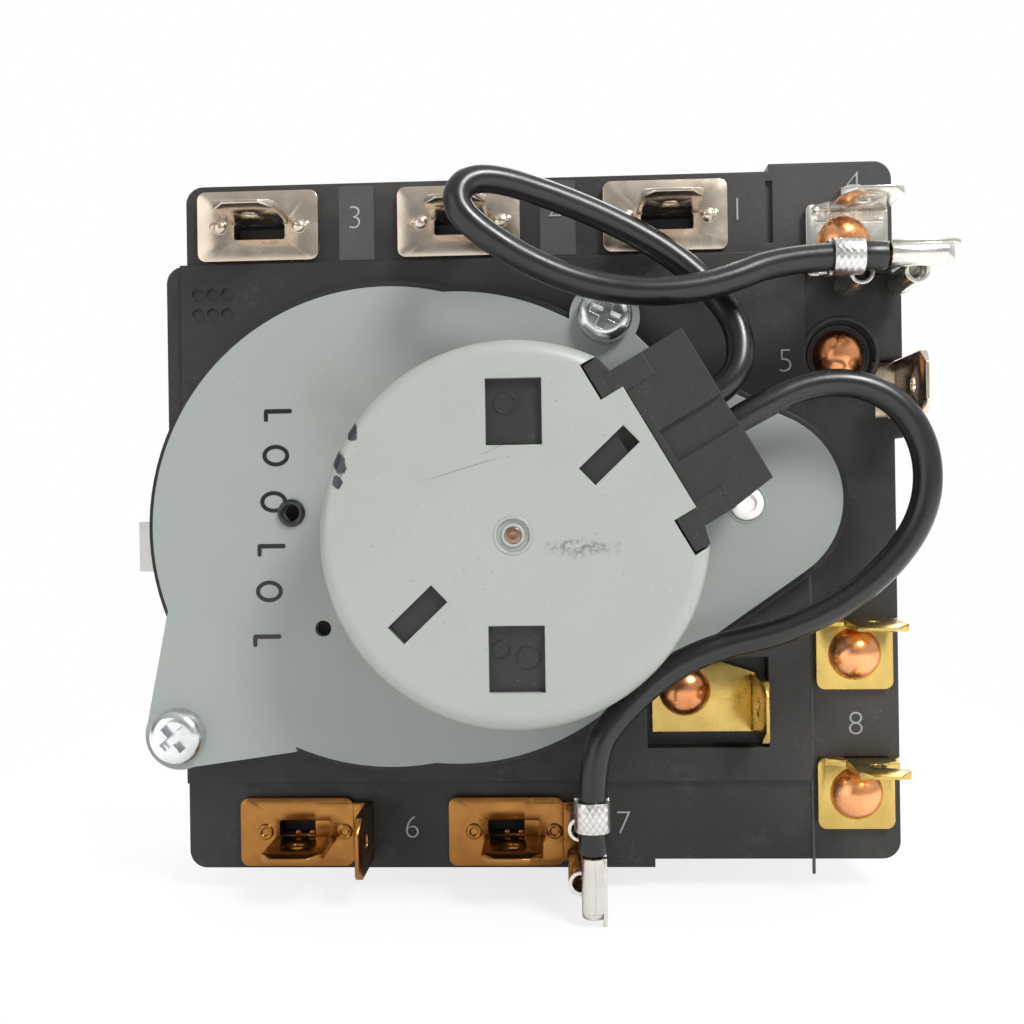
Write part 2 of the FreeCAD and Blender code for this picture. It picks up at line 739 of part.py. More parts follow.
def build_gears():
    bore = size("axle_radius") + size("running_clearance")
    rotor_phase = 0.0
    idler_phase = mesh_phase(AXES["rotor"], size("rotor_teeth"), rotor_phase,
                             AXES["idler"], size("idler_teeth"))
    lobe_phase = mesh_phase(AXES["idler"], size("idler_pinion_teeth"), 0.0, AXES["lobe"], size("lobe_teeth"))
    transfer_phase = mesh_phase(AXES["lobe"], size("lobe_pinion_teeth"), 0.0,
                                AXES["transfer"], size("transfer_teeth"))
    drive_phase = mesh_phase(AXES["transfer"], size("transfer_pinion_teeth"), 0.0,
                             AXES["drive"], size("drive_teeth"))
    keep(shaped("idler_gear", cluster("idler", size("idler_teeth"), idler_phase,
                                      size("idler_pinion_teeth"), 0.0, 0,
                                      size("idler_axle_radius") + size("running_clearance"))), "idler_gear")
    keep(shaped("lobe_gear", cluster("lobe", size("lobe_teeth"), lobe_phase,
                                     size("lobe_pinion_teeth"), 0.0, 1, bore)), "lobe_gear")
    keep(shaped("transfer_gear", cluster("transfer", size("transfer_teeth"), transfer_phase,
                                         size("transfer_pinion_teeth"), 0.0, 2, bore)), "transfer_gear")
    # Drive gear: a toothed rim on three spokes, free to slip on the timer shaft.
    low, top = level(3)
    rim_inner = size("gear_module") * (size("drive_teeth") / 2 - 1.1) - 2.4
    hub = size("cam_shaft_radius") + 3.0
    drive = prism(tooth_profile(size("drive_teeth"), drive_phase), (0, 0), low, top)
    drive = drive.cut(disc((0, 0), low - 1, top + 1, rim_inner))
    drive = drive.fuse(disc((0, 0), low, top, hub))
    for index in range(3):
        spoke = Part.makeBox(rim_inner + 1 - hub / 2, top - low, 5.0, Vector(hub / 2, -top, -2.5))
        spoke.rotate(Vector(), Vector(0, 1, 0), 120 * index)
        drive = drive.fuse(spoke)
    drive = drive.cut(disc((0, 0), low - 1, top + 1, size("cam_shaft_radius") + size("running_clearance")))
    keep(shaped("drive_gear", drive.removeSplitter()), "drive_gear")
    # Rotor hub with the pinion that reaches down through the gear plate.
    pinion_low, pinion_top = level(0)
    motor = AXES["rotor"]
    plate_top = size("panel_thickness") + size("case_depth") + size("wall_rise") + size("gear_plate_thickness")
    magnet_low = plate_top + size("magnet_lift")
    hub = disc(motor, pinion_top, magnet_low + size("magnet_length"), size("magnet_inner"))
    pinion = prism(tooth_profile(size("rotor_teeth"), rotor_phase), motor, pinion_low, pinion_top)
    hub = hub.fuse(pinion)
    hub = hub.cut(disc(motor, pinion_low - 1, magnet_low + size("magnet_length") + 1,
                       size("rotor_pin_radius") + size("running_clearance")))
    keep(shaped("rotor_pinion", hub.removeSplitter()), "rotor_pinion")


def build_axles():
    low = level(1)[0]
    bottom = "%.9f" % (low - 0.1)
    x, z = axis_text("idler")
    keep(rod("idler_axle", x, z, bottom, PLATE_TOP, "idler_axle_radius"), "idler_axle")
    x, z = axis_text("lobe")
    keep(rod("lobe_axle", x, z, SWITCH_ROOF, PLATE_TOP, "axle_radius"), "lobe_axle")
    x, z = axis_text("transfer")
    keep(rod("transfer_axle", x, z, SWITCH_ROOF, "%.9f" % level(2)[1], "axle_radius"), "transfer_axle")
    keep(rod("rotor_axle", "motor_x", "-motor_z", "%.9f" % (level(0)[0] - 0.5), CAN_TOP + " - dimple_depth / 2",
             "rotor_pin_radius"), "rotor_axle")
    outer = rod("lobe_bush_outer", "hub_x", "hub_z", WALL_TOP, PLATE_TOP + " + 0.1", "bush_outer")
    inner = rod("lobe_bush_bore", "hub_x", "hub_z", WALL_TOP + " - 1", PLATE_TOP + " + 1", "axle_radius")
    keep(cut("lobe_bush", outer, inner), "lobe_bush")


def build_gear_plate():
    plate = Solid("gear_plate")
    for loops in wall_loops("0"):
        plate.pad(WALL_TOP, PLATE_TOP, *loops)
    plate.pad(WALL_TOP, PLATE_TOP, circle("upper_screw_x", "upper_screw_z", "lug_radius"))
    plate.pad(WALL_TOP, PLATE_TOP, circle("-lower_screw_x", "-lower_screw_z", "lug_radius"))
    plate.pad(WALL_TOP, PLATE_TOP, poly(
        ("upper_screw_x - lug_radius * 1.4", "upper_screw_z - 1"), ("upper_screw_x", "upper_screw_z - 4"),
        ("upper_screw_x + lug_radius * 2.6", "upper_screw_z - 8.4"),
        ("upper_screw_x + lug_radius * 0.85", "upper_screw_z - lug_radius * 0.5")))
    plate.pad(WALL_TOP, PLATE_TOP, poly(
        ("-lower_screw_x - lug_radius * 0.92", "-lower_screw_z + lug_radius * 0.4"),
        ("-lower_screw_x + lug_radius * 0.4", "-lower_screw_z - lug_radius * 0.92"),
        ("-lower_screw_x + lug_reach", "-lower_screw_z - lug_radius * 0.5"),
        ("-plate_radius * 0.5", "-plate_radius * 0.5"),
        ("-plate_radius * 0.94", "-plate_radius * 0.34")))
    for x, z in (("upper_screw_x", "upper_screw_z"), ("-lower_screw_x", "-lower_screw_z")):
        plate.cut(WALL_TOP, PLATE_TOP, circle(x, z, "screw_radius + screw_hole_clearance"))
    plate.pad(PLATE_TOP, PLATE_TOP + " + post_collar / 2",
              circle("-post_hole_x", "post_hole_z", "post_hole_radius + post_collar"))
    plate.cut(WALL_TOP, PLATE_TOP + " + post_collar / 2", circle("-post_hole_x", "post_hole_z", "post_hole_radius"))
    plate.cut(WALL_TOP, PLATE_TOP, circle("-sight_hole_x", "-sight_hole_z", "sight_hole_radius"))
    plate.cut(WALL_TOP, PLATE_TOP, circle("hub_x", "hub_z", "bush_outer"))
    plate.cut(WALL_TOP, PLATE_TOP, circle(*axis_text("idler"), "idler_axle_radius"))
    plate.cut(WALL_TOP, PLATE_TOP, circle("0", "0", "shaft_spigot + running_clearance"))
    plate.cut(WALL_TOP, PLATE_TOP, circle("motor_x", "-motor_z",
                                          "gear_module * (rotor_teeth / 2 + tooth_addendum) + 0.6"))
    keep(plate, "gear_plate")


def build_plate_screws():
    screws = []
    for name, x, z, turn in (("upper", "upper_screw_x", "upper_screw_z", 25),
                             ("lower", "-lower_screw_x", "-lower_screw_z", 50)):
        head = rod(name + "_head", x, z, PLATE_TOP, PLATE_TOP + " + screw_head_height", "screw_head_radius")
        dome = doc.addObject("Part::Fillet", name + "_dome")
        dome.Base = head
        doc.recompute()
        edge = max(range(len(head.Shape.Edges)), key=lambda i: -head.Shape.Edges[i].CenterOfMass.y)
        dome.Edges = [(edge + 1, size("screw_head_height") * 0.6, size("screw_head_height") * 0.6)]
        shank = rod(name + "_shank", x, z, WALL_TOP + " - screw_length + 0.5", PLATE_TOP, "screw_radius")
        arms = []
        for index in (0, 1):
            arm = doc.addObject("Part::Box", "%s_arm_%d" % (name, index))
            bind(arm, Length="cross_length", Width="cross_depth", Height="cross_width")
            arm.Placement = Placement(Vector(), Rotation(Vector(0, 1, 0), turn + 90 * index))
            arms.append((arm, math.radians(turn + 90 * index)))
        for arm, angle in arms:
            bind(arm, Placement__Base__y="-(%s + screw_head_height)" % PLATE_TOP)
            shift_x = "(cross_length * %.6f + cross_width * %.6f) / 2" % (math.cos(angle), math.sin(angle))
            shift_z = "(cross_width * %.6f - cross_length * %.6f) / 2" % (math.cos(angle), math.sin(angle))
            bind(arm, Placement__Base__x="%s - %s" % (x, shift_x), Placement__Base__z="%s - %s" % (z, shift_z))
        whole = fuse(name + "_screw_blank", [dome, shank])
        recess = fuse(name + "_recess", [arm for arm, angle in arms])
        screws.append(cut(name + "_screw", whole, recess))
    both = doc.addObject("Part::Compound", "plate_screws")
    both.Links = screws
    keep(both, "plate_screws")


def turned(angle, points):
    """Expressions for plan points given along and across the connector's face."""
    cosine = math.cos(math.radians(angle))
    sine = math.sin(math.radians(angle))
    out = []
    for across, reach in points:
        out.append(("motor_x + (%s) * %.9f + (%s) * %.9f" % (reach, cosine, across, sine),
                    "-motor_z + (%s) * %.9f - (%s) * %.9f" % (reach, sine, across, cosine)))
    return out


def build_motor():
    angle = size("connector_angle")
    can = Solid("motor_can")
    can.pad(PLATE_TOP, CAN_TOP, circle("motor_x", "-motor_z", "can_radius"))
    far = -(size("panel_thickness") + size("case_depth") + size("wall_rise") + size("gear_plate_thickness")
            + size("can_height"))
    can.round("can_rim_radius", lambda edge: abs(edge.CenterOfMass.y - far) < 0.01 and len(edge.Vertexes) == 1)
    can.cut(PLATE_TOP, CAN_TOP + " - can_wall", circle("motor_x", "-motor_z", "can_radius - can_wall"))
    for side in ("+", "-"):
        can.cut(CAN_TOP + " - can_wall", CAN_TOP,
                rect("motor_x + 0.2", "-motor_z %s can_window_reach" % side, "can_window", "can_window_height"))
    for sign in (1, -1):
        along = "%d * can_slot_offset" % sign
        reach = "%d * can_slot_reach" % sign
        corners = []
        for da, dr in ((-1, -1), (1, -1), (1, 1), (-1, 1)):
            corners.append(("%s + %d * can_slot_width / 2" % (along, da),
                            "%s + %d * can_slot_length / 2" % (reach, dr)))
        can.cut(CAN_TOP + " - can_wall", CAN_TOP, poly(*turned(size("can_slot_angle"), corners)))
    can.cut(CAN_TOP + " - dimple_depth", CAN_TOP, circle("motor_x", "-motor_z", "dimple_radius"))
    can.cut(CAN_TOP + " - can_wall", CAN_TOP, circle("motor_x", "-motor_z", "rotor_pin_radius"))
    half = "(connector_width / 2 - ear_inset)"
    can.cut(PLATE_TOP, CAN_TOP, poly(*turned(angle, [
        ("-" + half, "can_flat_reach"), (half, "can_flat_reach"),
        (half, "can_radius + 2"), ("-" + half, "can_radius + 2")])))
    for sign in ("-", ""):
        inner = "%s(connector_width / 2 - ear_inset - 0.01)" % sign
        outer = "%s(connector_width / 2 - ear_inset + ear_width)" % sign
        can.cut(CAN_TOP + " - connector_height / 2", CAN_TOP, poly(*turned(angle, [
            (inner, "can_flat_reach - ear_reach"), (outer, "can_flat_reach - ear_reach"),
            (outer, "can_radius + 2"), (inner, "can_radius + 2")])))
    keep(can, "motor_can")

    block = Solid("connector_block")
    top = CAN_TOP + " - 0.5"
    foot = top + " - connector_height"
    wide = "connector_width / 2"
    block.pad(foot, top, poly(*turned(angle, [
        ("-" + half + " + 0.1", "can_flat_reach + 0.1"), (half + " - 0.1", "can_flat_reach + 0.1"),
        (half + " - 0.1", "can_radius + 0.3"), (wide, "can_radius + 0.3"),
        (wide + " - 0.6", "can_flat_reach + connector_lip + connector_reach"),
        ("-" + wide, "can_flat_reach + connector_lip + connector_reach"),
        ("-" + wide, "can_radius + 0.3"), ("-" + half + " + 0.1", "can_radius + 0.3")])))
    for sign in ("-", ""):
        inner = "%s(connector_width / 2 - ear_inset - 0.5)" % sign
        outer = "%s(connector_width / 2 - ear_inset + ear_width - 0.2)" % sign
        neck = "%s(connector_width / 2)" % sign
        block.pad(CAN_TOP + " - connector_height / 2 + 0.2", CAN_TOP + " - 0.3", poly(*turned(angle, [
            (inner, "can_flat_reach - ear_reach + 0.2"), (outer, "can_flat_reach - ear_reach + 0.2"),
            (outer, "can_flat_reach - ear_reach + 1.8"), (neck, "can_flat_reach - ear_reach + 2.2"),
            (neck, "can_radius + 0.6"), (inner, "can_radius + 0.6")])))
    block.cut(top + " - connector_groove", CAN_TOP + " + 1", poly(*turned(angle, [
        ("connector_groove_shift - connector_groove_width / 2", "can_flat_reach + 0.8"),
        ("connector_groove_shift + connector_groove_width / 2", "can_flat_reach + 0.8"),
        ("connector_groove_shift + connector_groove_width / 2", "can_radius + connector_reach + 2"),
        ("connector_groove_shift - connector_groove_width / 2", "can_radius + connector_reach + 2")])))
    keep(block, "connector_block")

    # Bobbin: a core tube between two flanges, seated on the gear plate.
    low = PLATE_TOP + " + pole_plate_thickness"
    high = CAN_TOP + " - can_wall"
    bobbin = Solid("coil_bobbin")
    bobbin.pad(low, low + " + bobbin_flange", circle("motor_x", "-motor_z", "bobbin_outer"))
    bobbin.pad(low, high, circle("motor_x", "-motor_z", "bobbin_inner + bobbin_core"))
    bobbin.pad(high + " - bobbin_flange", high, circle("motor_x", "-motor_z", "bobbin_outer"))
    bobbin.cut(low, high, circle("motor_x", "-motor_z", "bobbin_inner"))
    bobbin.cut(low, high, poly(*turned(angle, [
        ("-connector_width", "can_flat_reach - ear_reach - 0.3"), ("connector_width", "can_flat_reach - ear_reach - 0.3"),
        ("connector_width", "can_radius + 4"), ("-connector_width", "can_radius + 4")])))
    keep(bobbin, "coil_bobbin")
    outer = rod("winding_outer_face", "motor_x", "-motor_z", low + " + bobbin_flange", high + " - bobbin_flange",
                "min(winding_outer; can_flat_reach - ear_reach - 0.3)")
    inner = rod("winding_inner_face", "motor_x", "-motor_z", low, high, "bobbin_inner + bobbin_core")
    keep(cut("coil_winding", outer, inner), "coil_winding")

    # Pole plate: a steel ring whose claws stand up between the bobbin and the rotor.
    poles = Solid("pole_plate")
    poles.pad(PLATE_TOP, low, circle("motor_x", "-motor_z", "bobbin_outer"))
    poles.cut(PLATE_TOP, low, circle("motor_x", "-motor_z", "magnet_outer + pole_gap"))
    poles.cut(PLATE_TOP, low, poly(*turned(angle, [
        ("-connector_width", "can_flat_reach - 0.2"), ("connector_width", "can_flat_reach - 0.2"),
        ("connector_width", "can_radius + 4"), ("-connector_width", "can_radius + 4")])))
    for index in range(int(size("pole_count"))):
        turn = 360.0 / size("pole_count") * index
        poles.pad(PLATE_TOP, low + " + pole_length", poly(*turned(turn, [
            ("-pole_width / 2", "magnet_outer + pole_gap"), ("pole_width / 2", "magnet_outer + pole_gap"),
            ("pole_width / 2", "bobbin_inner - 0.1"), ("-pole_width / 2", "bobbin_inner - 0.1")])))
    keep(poles, "pole_plate")

    magnet_low = PLATE_TOP + " + magnet_lift"
    outer = rod("magnet_outer_face", "motor_x", "-motor_z", magnet_low, magnet_low + " + magnet_length", "magnet_outer")
    inner = rod("magnet_inner_face", "motor_x", "-motor_z", magnet_low, magnet_low + " + magnet_length", "magnet_inner")
    keep(cut("rotor_magnet", outer, inner), "rotor_magnet")


def build_shaft():
    front = "-shaft_reach"
    flange = "panel_thickness + shaft_bush_flange_thickness"
    clip_at = "-shaft_bush_reach - clip_thickness - 0.1"
    body = Solid("timer_shaft")
    body.pad(flange + " + 0.1", "%.9f" % (level(3)[1] + 0.1), circle("0", "0", "cam_shaft_radius"))
    body.pad(clip_at + " + clip_thickness", flange + " + 0.1", circle("0", "0", "journal_radius"))
    body.pad(clip_at, clip_at + " + clip_thickness", circle("0", "0", "shaft_radius - clip_groove"))
    body.pad(front, clip_at, circle("0", "0", "shaft_radius"))
    body.pad(flange + " + 0.1", PLATE_TOP + " - 0.1", circle("0", "0", "shaft_spigot"))
    # The flat runs from the tip to the clip groove.
    body.cut(front, clip_at,
             span("-shaft_radius - 1", "shaft_radius + 1", "shaft_radius - flat_depth", "shaft_radius + 1"))
    keep(body, "timer_shaft")

    clip = Solid("shaft_clip")
    clip.pad(clip_at, clip_at + " + clip_thickness", circle("0", "0", "clip_outer"))
    clip.cut(clip_at, clip_at + " + clip_thickness", circle("0", "0", "shaft_radius - clip_groove"))
    clip.cut(clip_at, clip_at + " + clip_thickness",
             span("-shaft_radius * 0.55", "shaft_radius * 0.55", "-clip_outer - 1", "-0.5"))
    keep(clip, "shaft_clip")

    bush = Solid("shaft_bush")
    bush.pad("-shaft_bush_reach", flange, circle("0", "0", "shaft_bush_outer"))
    bush.pad("panel_thickness", flange, circle("0", "0", "shaft_bush_flange"))
    bush.cut("-shaft_bush_reach", flange, circle("0", "0", "journal_radius + running_clearance"))
    keep(bush, "shaft_bush")

    # Cam wheel: a moulded cup with three tracks, each raised over part of its turn.
    pieces = [rod("cam_base", "0", "0", CAM_LOW, CAM_TOP, "cam_radius")]
    for track, lifts in enumerate((((20, 140), (200, 60)), ((75, 95), (230, 70)), ((0, 55), (110, 180)))):
        middle = track_middle(track)
        for number, (start, sweep) in enumerate(lifts):
            lobe = rod("cam_lobe_%d_%d" % (track, number), "0", "0", "%s - %s / 2" % (middle, TRACK_WIDTH),
                       "%s + %s / 2" % (middle, TRACK_WIDTH), "cam_radius + cam_lift")
            lobe.Angle = sweep
            lobe.Placement = Placement(lobe.Placement.Base, Rotation(Vector(0, 1, 0), -start).multiply(
                Rotation(Vector(1, 0, 0), 90)))
            bind(lobe, Placement__Base__y="-(%s - %s / 2)" % (middle, TRACK_WIDTH))
            pieces.append(lobe)
    blank = fuse("cam_blank", pieces)
    hollow = rod("cam_hollow", "0", "0", CAM_LOW + " - 1", CAM_TOP + " - cam_web", "cam_radius - cam_rim")
    core = rod("cam_core", "0", "0", CAM_LOW + " - 2", CAM_TOP + " - cam_web + 1", "cam_hub")
    bore = rod("cam_bore", "0", "0", CAM_LOW + " - 3", CAM_TOP + " + 1", "cam_shaft_radius")
    ring = cut("cam_ring_tool", hollow, core)
    keep(cut("cam_wheel", cut("cam_cup", blank, ring), bore), "cam_wheel")

    washer = rod("washer_face", "0", "0", CAM_TOP, CAM_TOP + " + washer_thickness", "washer_outer")
    hole = rod("washer_hole", "0", "0", CAM_TOP + " - 1", CAM_TOP + " + 2", "cam_shaft_radius")
    keep(cut("clutch_washer", washer, hole), "clutch_washer")


def build_panel():
    panel = Solid("panel_plate")
    panel.pad("0", "panel_thickness", poly(
        ("-case_lower_left + panel_inset", "-case_bottom + case_bottom_step + panel_inset"),
        ("case_right - panel_inset", "-case_bottom + case_bottom_step + panel_inset"),
        ("case_right - panel_inset", "strip_top - panel_inset"),
        ("-strip_left + panel_inset", "strip_top - panel_inset")))
    panel.round("corner_radius", along_y)
    left = "-plate_radius - wall_lip - leg_gap"
    right = "case_right + leg_gap"
    low = "-leg_z - leg_width / 2"
    high = "-leg_z + leg_width / 2"
    panel.pad("0", "panel_thickness", span(left + " - panel_thickness", "0", low, high))
    panel.pad("0", "left_leg_rise", span(left + " - panel_thickness", left, low, high))
    panel.pad("left_leg_rise", "left_leg_rise + leg_flare_length",
              span(left + " - panel_thickness - leg_flare", left + " - 0.2", low, high))
    panel.pad("0", "panel_thickness", span("0", right + " + panel_thickness", low, high))
    panel.pad("0", "right_leg_rise", span(right, right + " + panel_thickness", low, high))
    panel.cut("0", "panel_thickness", circle("0", "0", "shaft_bush_outer"))
    for z in ("panel_hole_z", "-panel_hole_z"):
        panel.cut("0", "panel_thickness", circle("0", z, "panel_hole_radius"))
    keep(panel, "panel_plate")


def flat_tab(piece, x, z, root, tip, width="tab_width", notched=False):
    """A quick-connect tab standing from its root, flat face up and down."""
    half = "%s / 2" % width
    low = "-(%s)" % tip
    points = [(x + " - " + half, "-(%s)" % root), (x + " + " + half, "-(%s)" % root)]
    if notched:
        inner = "%s + %s - notch_depth" % (x, half)
        points += [(x + " + " + half, low + " + notch_from_tip + notch_length"),
                   (inner, low + " + notch_from_tip + notch_length"), (inner, low + " + notch_from_tip"),
                   (x + " + " + half, low + " + notch_from_tip")]
    points += [(x + " + " + half, low + " + tab_bevel"), (x + " + " + half + " - tab_bevel", low),
               (x + " - " + half + " + tab_bevel", low), (x + " - " + half, low + " + tab_bevel")]
    piece.pad(z + " - stock / 2", z + " + stock / 2", poly(*points), plane="XY_Plane")
    piece.cut(z + " - stock / 2", z + " + stock / 2",
              circle(x, low + " + tab_hole_from_tip", "tab_hole_radius"), plane="XY_Plane")


def side_tab(piece, x, z, root, tip):
    """A quick-connect tab standing from its root, flat face left and right."""
    half = "tab_width / 2"
    low = "-(%s)" % tip
    piece.pad(x + " - stock / 2", x + " + stock / 2", poly(
        ("-(%s)" % root, z + " - " + half), (low + " + tab_bevel", z + " - " + half),
        (low, z + " - " + half + " + tab_bevel"), (low, z + " + " + half + " - tab_bevel"),
        (low + " + tab_bevel", z + " + " + half), ("-(%s)" % root, z + " + " + half)), plane="YZ_Plane")
    piece.cut(x + " - stock / 2", x + " + stock / 2",
              circle(low + " + tab_hole_from_tip", z, "tab_hole_radius"), plane="YZ_Plane")


def build_lanced_terminals():
    names = ("terminal_top_left", "terminal_top_middle", "terminal_top_right",
             "terminal_bottom_left", "terminal_bottom_middle")
    for name, (x, z, side) in zip(names, lanced_places()):
        tab_x, tab_z, window_z = lanced_tab(x, z, side)
        piece = Solid(name)
        piece.pad(REAR, PLATE_TIP, rect(x, z, side + "_plate_width", side + "_plate_height"))
        piece.round("plate_corner", along_y)
        if side == "bottom":
            reach = "left_flag_reach" if name.endswith("left") else "middle_flag_reach"
            flag = "%s + %s" % (x, reach)
            piece.pad(REAR, PLATE_TIP, span(x, flag + " + stock / 2", "-flag_tab_z - tab_width / 2",
                                            "-flag_tab_z + tab_width / 2"))
        piece.cut(REAR, PLATE_TIP, rect(tab_x, window_z, "window_width", "window_height"))
        flat_tab(piece, tab_x, tab_z, REAR, TAB_TIP)
        if side == "bottom":
            side_tab(piece, flag, "-flag_tab_z", REAR, TAB_TIP)
        keep(piece, name)


def rivet_hole(piece, x, z, start, end):
    piece.cut(start, end, circle(x, z, "rivet_shank"))


def build_riveted_terminals():
    for name, z, notched in (("terminal_right_upper", "-right_upper_z", False),
                             ("terminal_right_lower", "-right_lower_z", True)):
        piece = Solid(name)
        piece.pad(REAR, PLATE_TIP, rect("right_plate_x", z, "right_plate_width", "right_plate_height"))
        piece.round("plate_corner", along_y)
        flat_tab(piece, "right_tab_x", z + " + right_plate_height / 2 - stock / 2", REAR, TAB_TIP,
                 "right_tab_width", notched)
        rivet_hole(piece, "right_plate_x", z, REAR, PLATE_TIP)
        keep(piece, name)

    corner = Solid("terminal_corner")
    corner.pad(REAR, PLATE_TIP, rect("corner_plate_x", "corner_plate_z", "corner_plate_width", "corner_plate_height"))
    corner.round("plate_corner", along_y)
    flat_tab(corner, "corner_tab_x", "corner_plate_z + corner_plate_height / 2 - stock / 2", REAR, TAB_TIP)
    flat_tab(corner, "corner_lower_tab_x", "corner_plate_z - corner_plate_height / 2 + stock / 2", REAR, TAB_TIP)
    rivet_hole(corner, "corner_rivet_x", "corner_rivet_z", REAR, PLATE_TIP)
    keep(corner, "terminal_corner")

    side = Solid("terminal_side")
    seat = REAR + " - side_seat_depth"
    side.pad(seat, seat + " + stock", circle("side_rivet_x", "side_rivet_z", "side_strip_reach"))
    side.pad(seat, seat + " + stock", span("side_rivet_x", "side_tab_x + stock / 2", "side_tab_z - tab_width / 2",
                                           "side_tab_z + tab_width / 2"))
    side_tab(side, "side_tab_x", "side_tab_z", seat, REAR + " + side_tab_rise")
    rivet_hole(side, "side_rivet_x", "side_rivet_z", seat, seat + " + stock")
    keep(side, "terminal_side")

    inner = Solid("terminal_inner")
    seat = REAR + " - inner_recess_depth"
    inner.pad(seat, seat + " + stock", span(
        "inner_rivet_x - rivet_head - 0.8", "inner_tab_x + stock / 2", "-inner_tab_z - tab_width / 2",
        "-inner_rivet_z + rivet_head + 0.3"))
    side_tab(inner, "inner_tab_x", "-inner_tab_z", seat, TAB_TIP + " - inner_recess_depth")
    rivet_hole(inner, "inner_rivet_x", "-inner_rivet_z", seat, seat + " + stock")
    keep(inner, "terminal_inner")

    domes = []
    for x, z, seat, name in rivet_places():
        shank = rod("rivet_shank_" + name, x, z, "%s - rivet_length" % seat, "%s + stock + 0.5" % seat, "rivet_shank")
        ball = doc.addObject("Part::Sphere", "rivet_ball_" + name)
        radius = "((rivet_head * rivet_head + rivet_dome * rivet_dome) / (2 * rivet_dome))"
        bind(ball, Radius=radius, Placement__Base__x=x, Placement__Base__z=z,
             Placement__Base__y="-(%s + stock + rivet_dome - %s)" % (seat, radius))
        trim = rod("rivet_trim_" + name, x, z, "%s + stock" % seat, "%s + stock + rivet_dome + 1" % seat, "rivet_head + 1")
        dome = doc.addObject("Part::Common", "rivet_dome_" + name)
        dome.Base = ball
        dome.Tool = trim
        domes.append(fuse("rivet_" + name, [dome, shank]))
    rivets = doc.addObject("Part::Compound", "terminal_rivets")
    rivets.Links = domes
    keep(rivets, "terminal_rivets")


def build_blades():
    """Three pairs of contact blades: the left ones follow the cam tracks."""
    groups = {"moving_blades": [], "fixed_blades": []}
    for index in range(3):
        middle = track_middle(index)
        low = "%s - %s / 2" % (middle, BLADE_WIDTH)
        high = "%s + %s / 2" % (middle, BLADE_WIDTH)
        for group in groups:
            blade = Solid("%s_%d" % (group, index))
            if group == "moving_blades":
                blade.pad(low, high, span("blade_x", "blade_x + blade_thickness", "-blade_free_end",
                                          "switch_top + blade_root"))
                blade.pad(low, high, poly(("blade_x + 0.01", "-follower_length / 2"),
                                          ("blade_x + 0.01", "follower_length / 2"),
                                          ("blade_x - follower_height", "follower_length / 6"),
                                          ("blade_x - follower_height", "-follower_length / 6")))
                face = "blade_x + blade_thickness"
                blade.pad(face, face + " + contact_height",
                          circle("-(%s)" % middle, "-contact_z", "contact_radius"), plane="YZ_Plane")
            else:
                blade.pad(low, high, span(FIXED_X, FIXED_X + " + blade_thickness", "-switch_bottom - blade_root",
                                          "-contact_z + contact_radius + 0.8"))
                blade.pad(FIXED_X + " - contact_height", FIXED_X,
                          circle("-(%s)" % middle, "-contact_z", "contact_radius"), plane="YZ_Plane")
            groups[group].append(blade.body)
    for group, blades in groups.items():
        item = doc.addObject("Part::Compound", group)
        item.Links = blades
        keep(item, group)


def lead_path(points):
    """Straight runs joined by tangent arcs, as large as the shorter run allows."""
    edges = []
    radii = []
    here = points[0]
    for before, corner, after in zip(points, points[1:], points[2:]):
        into = (corner - before)
        out = (after - corner)
        shorter = min(into.Length, out.Length)
        into = into.normalize()
        out = out.normalize()
        turn = into.getAngle(out)
        trim = 0.45 * shorter
        radius = trim / math.tan(turn / 2)
        radii.append((radius, math.degrees(turn)))
        start = corner - into * trim
        end = corner + out * trim
        centre_way = (out - into).normalize()
        middle = corner + centre_way * (radius / math.cos(turn / 2) - radius)
        edges.append(Part.LineSegment(here, start).toShape())
        edges.append(Part.Arc(start, middle, end).toShape())
        here = end
    edges.append(Part.LineSegment(here, points[-1]).toShape())
    return Part.Wire(edges), radii


def lead(label, points):
    path, radii = lead_path(points)
    radius = size("lead_diameter") / 2
    way = (points[1] - points[0]).normalize()
    ring = Part.Wire([Part.Circle(points[0], way, radius).toShape()])
    tube = path.makePipeShell([ring], True, True)
    section = math.pi * radius ** 2
    print(label, "length %.2f" % path.Length, "volume ratio %.4f" % (tube.Volume / (section * path.Length)),
          "radii", " ".join("%.1f@%.0f" % pair for pair in radii))
    keep(shaped(label, tube), label)
    return path.Length


def at(x, z, height):
    """A point above the rear face of the case."""
    return Vector(x, -(size("panel_thickness") + size("case_depth") + height), z)


def lead_exit(side):
    """Where a lead leaves the connector block's outer face, and the end of its first straight run."""
    angle = math.radians(size("connector_angle"))
    reach = size("can_flat_reach") + size("connector_lip") + size("connector_reach")
    across = side * size("lead_exit_pitch") / 2
    height = size("wall_rise") + size("gear_plate_thickness") + size("can_height") - size("lead_exit_drop")
    start = at(size("motor_x") + reach * math.cos(angle) + across * math.sin(angle),
               -size("motor_z") + reach * math.sin(angle) - across * math.cos(angle), height)
    return [start, start + Vector(math.cos(angle), 0, math.sin(angle)) * size("lead_straight")]


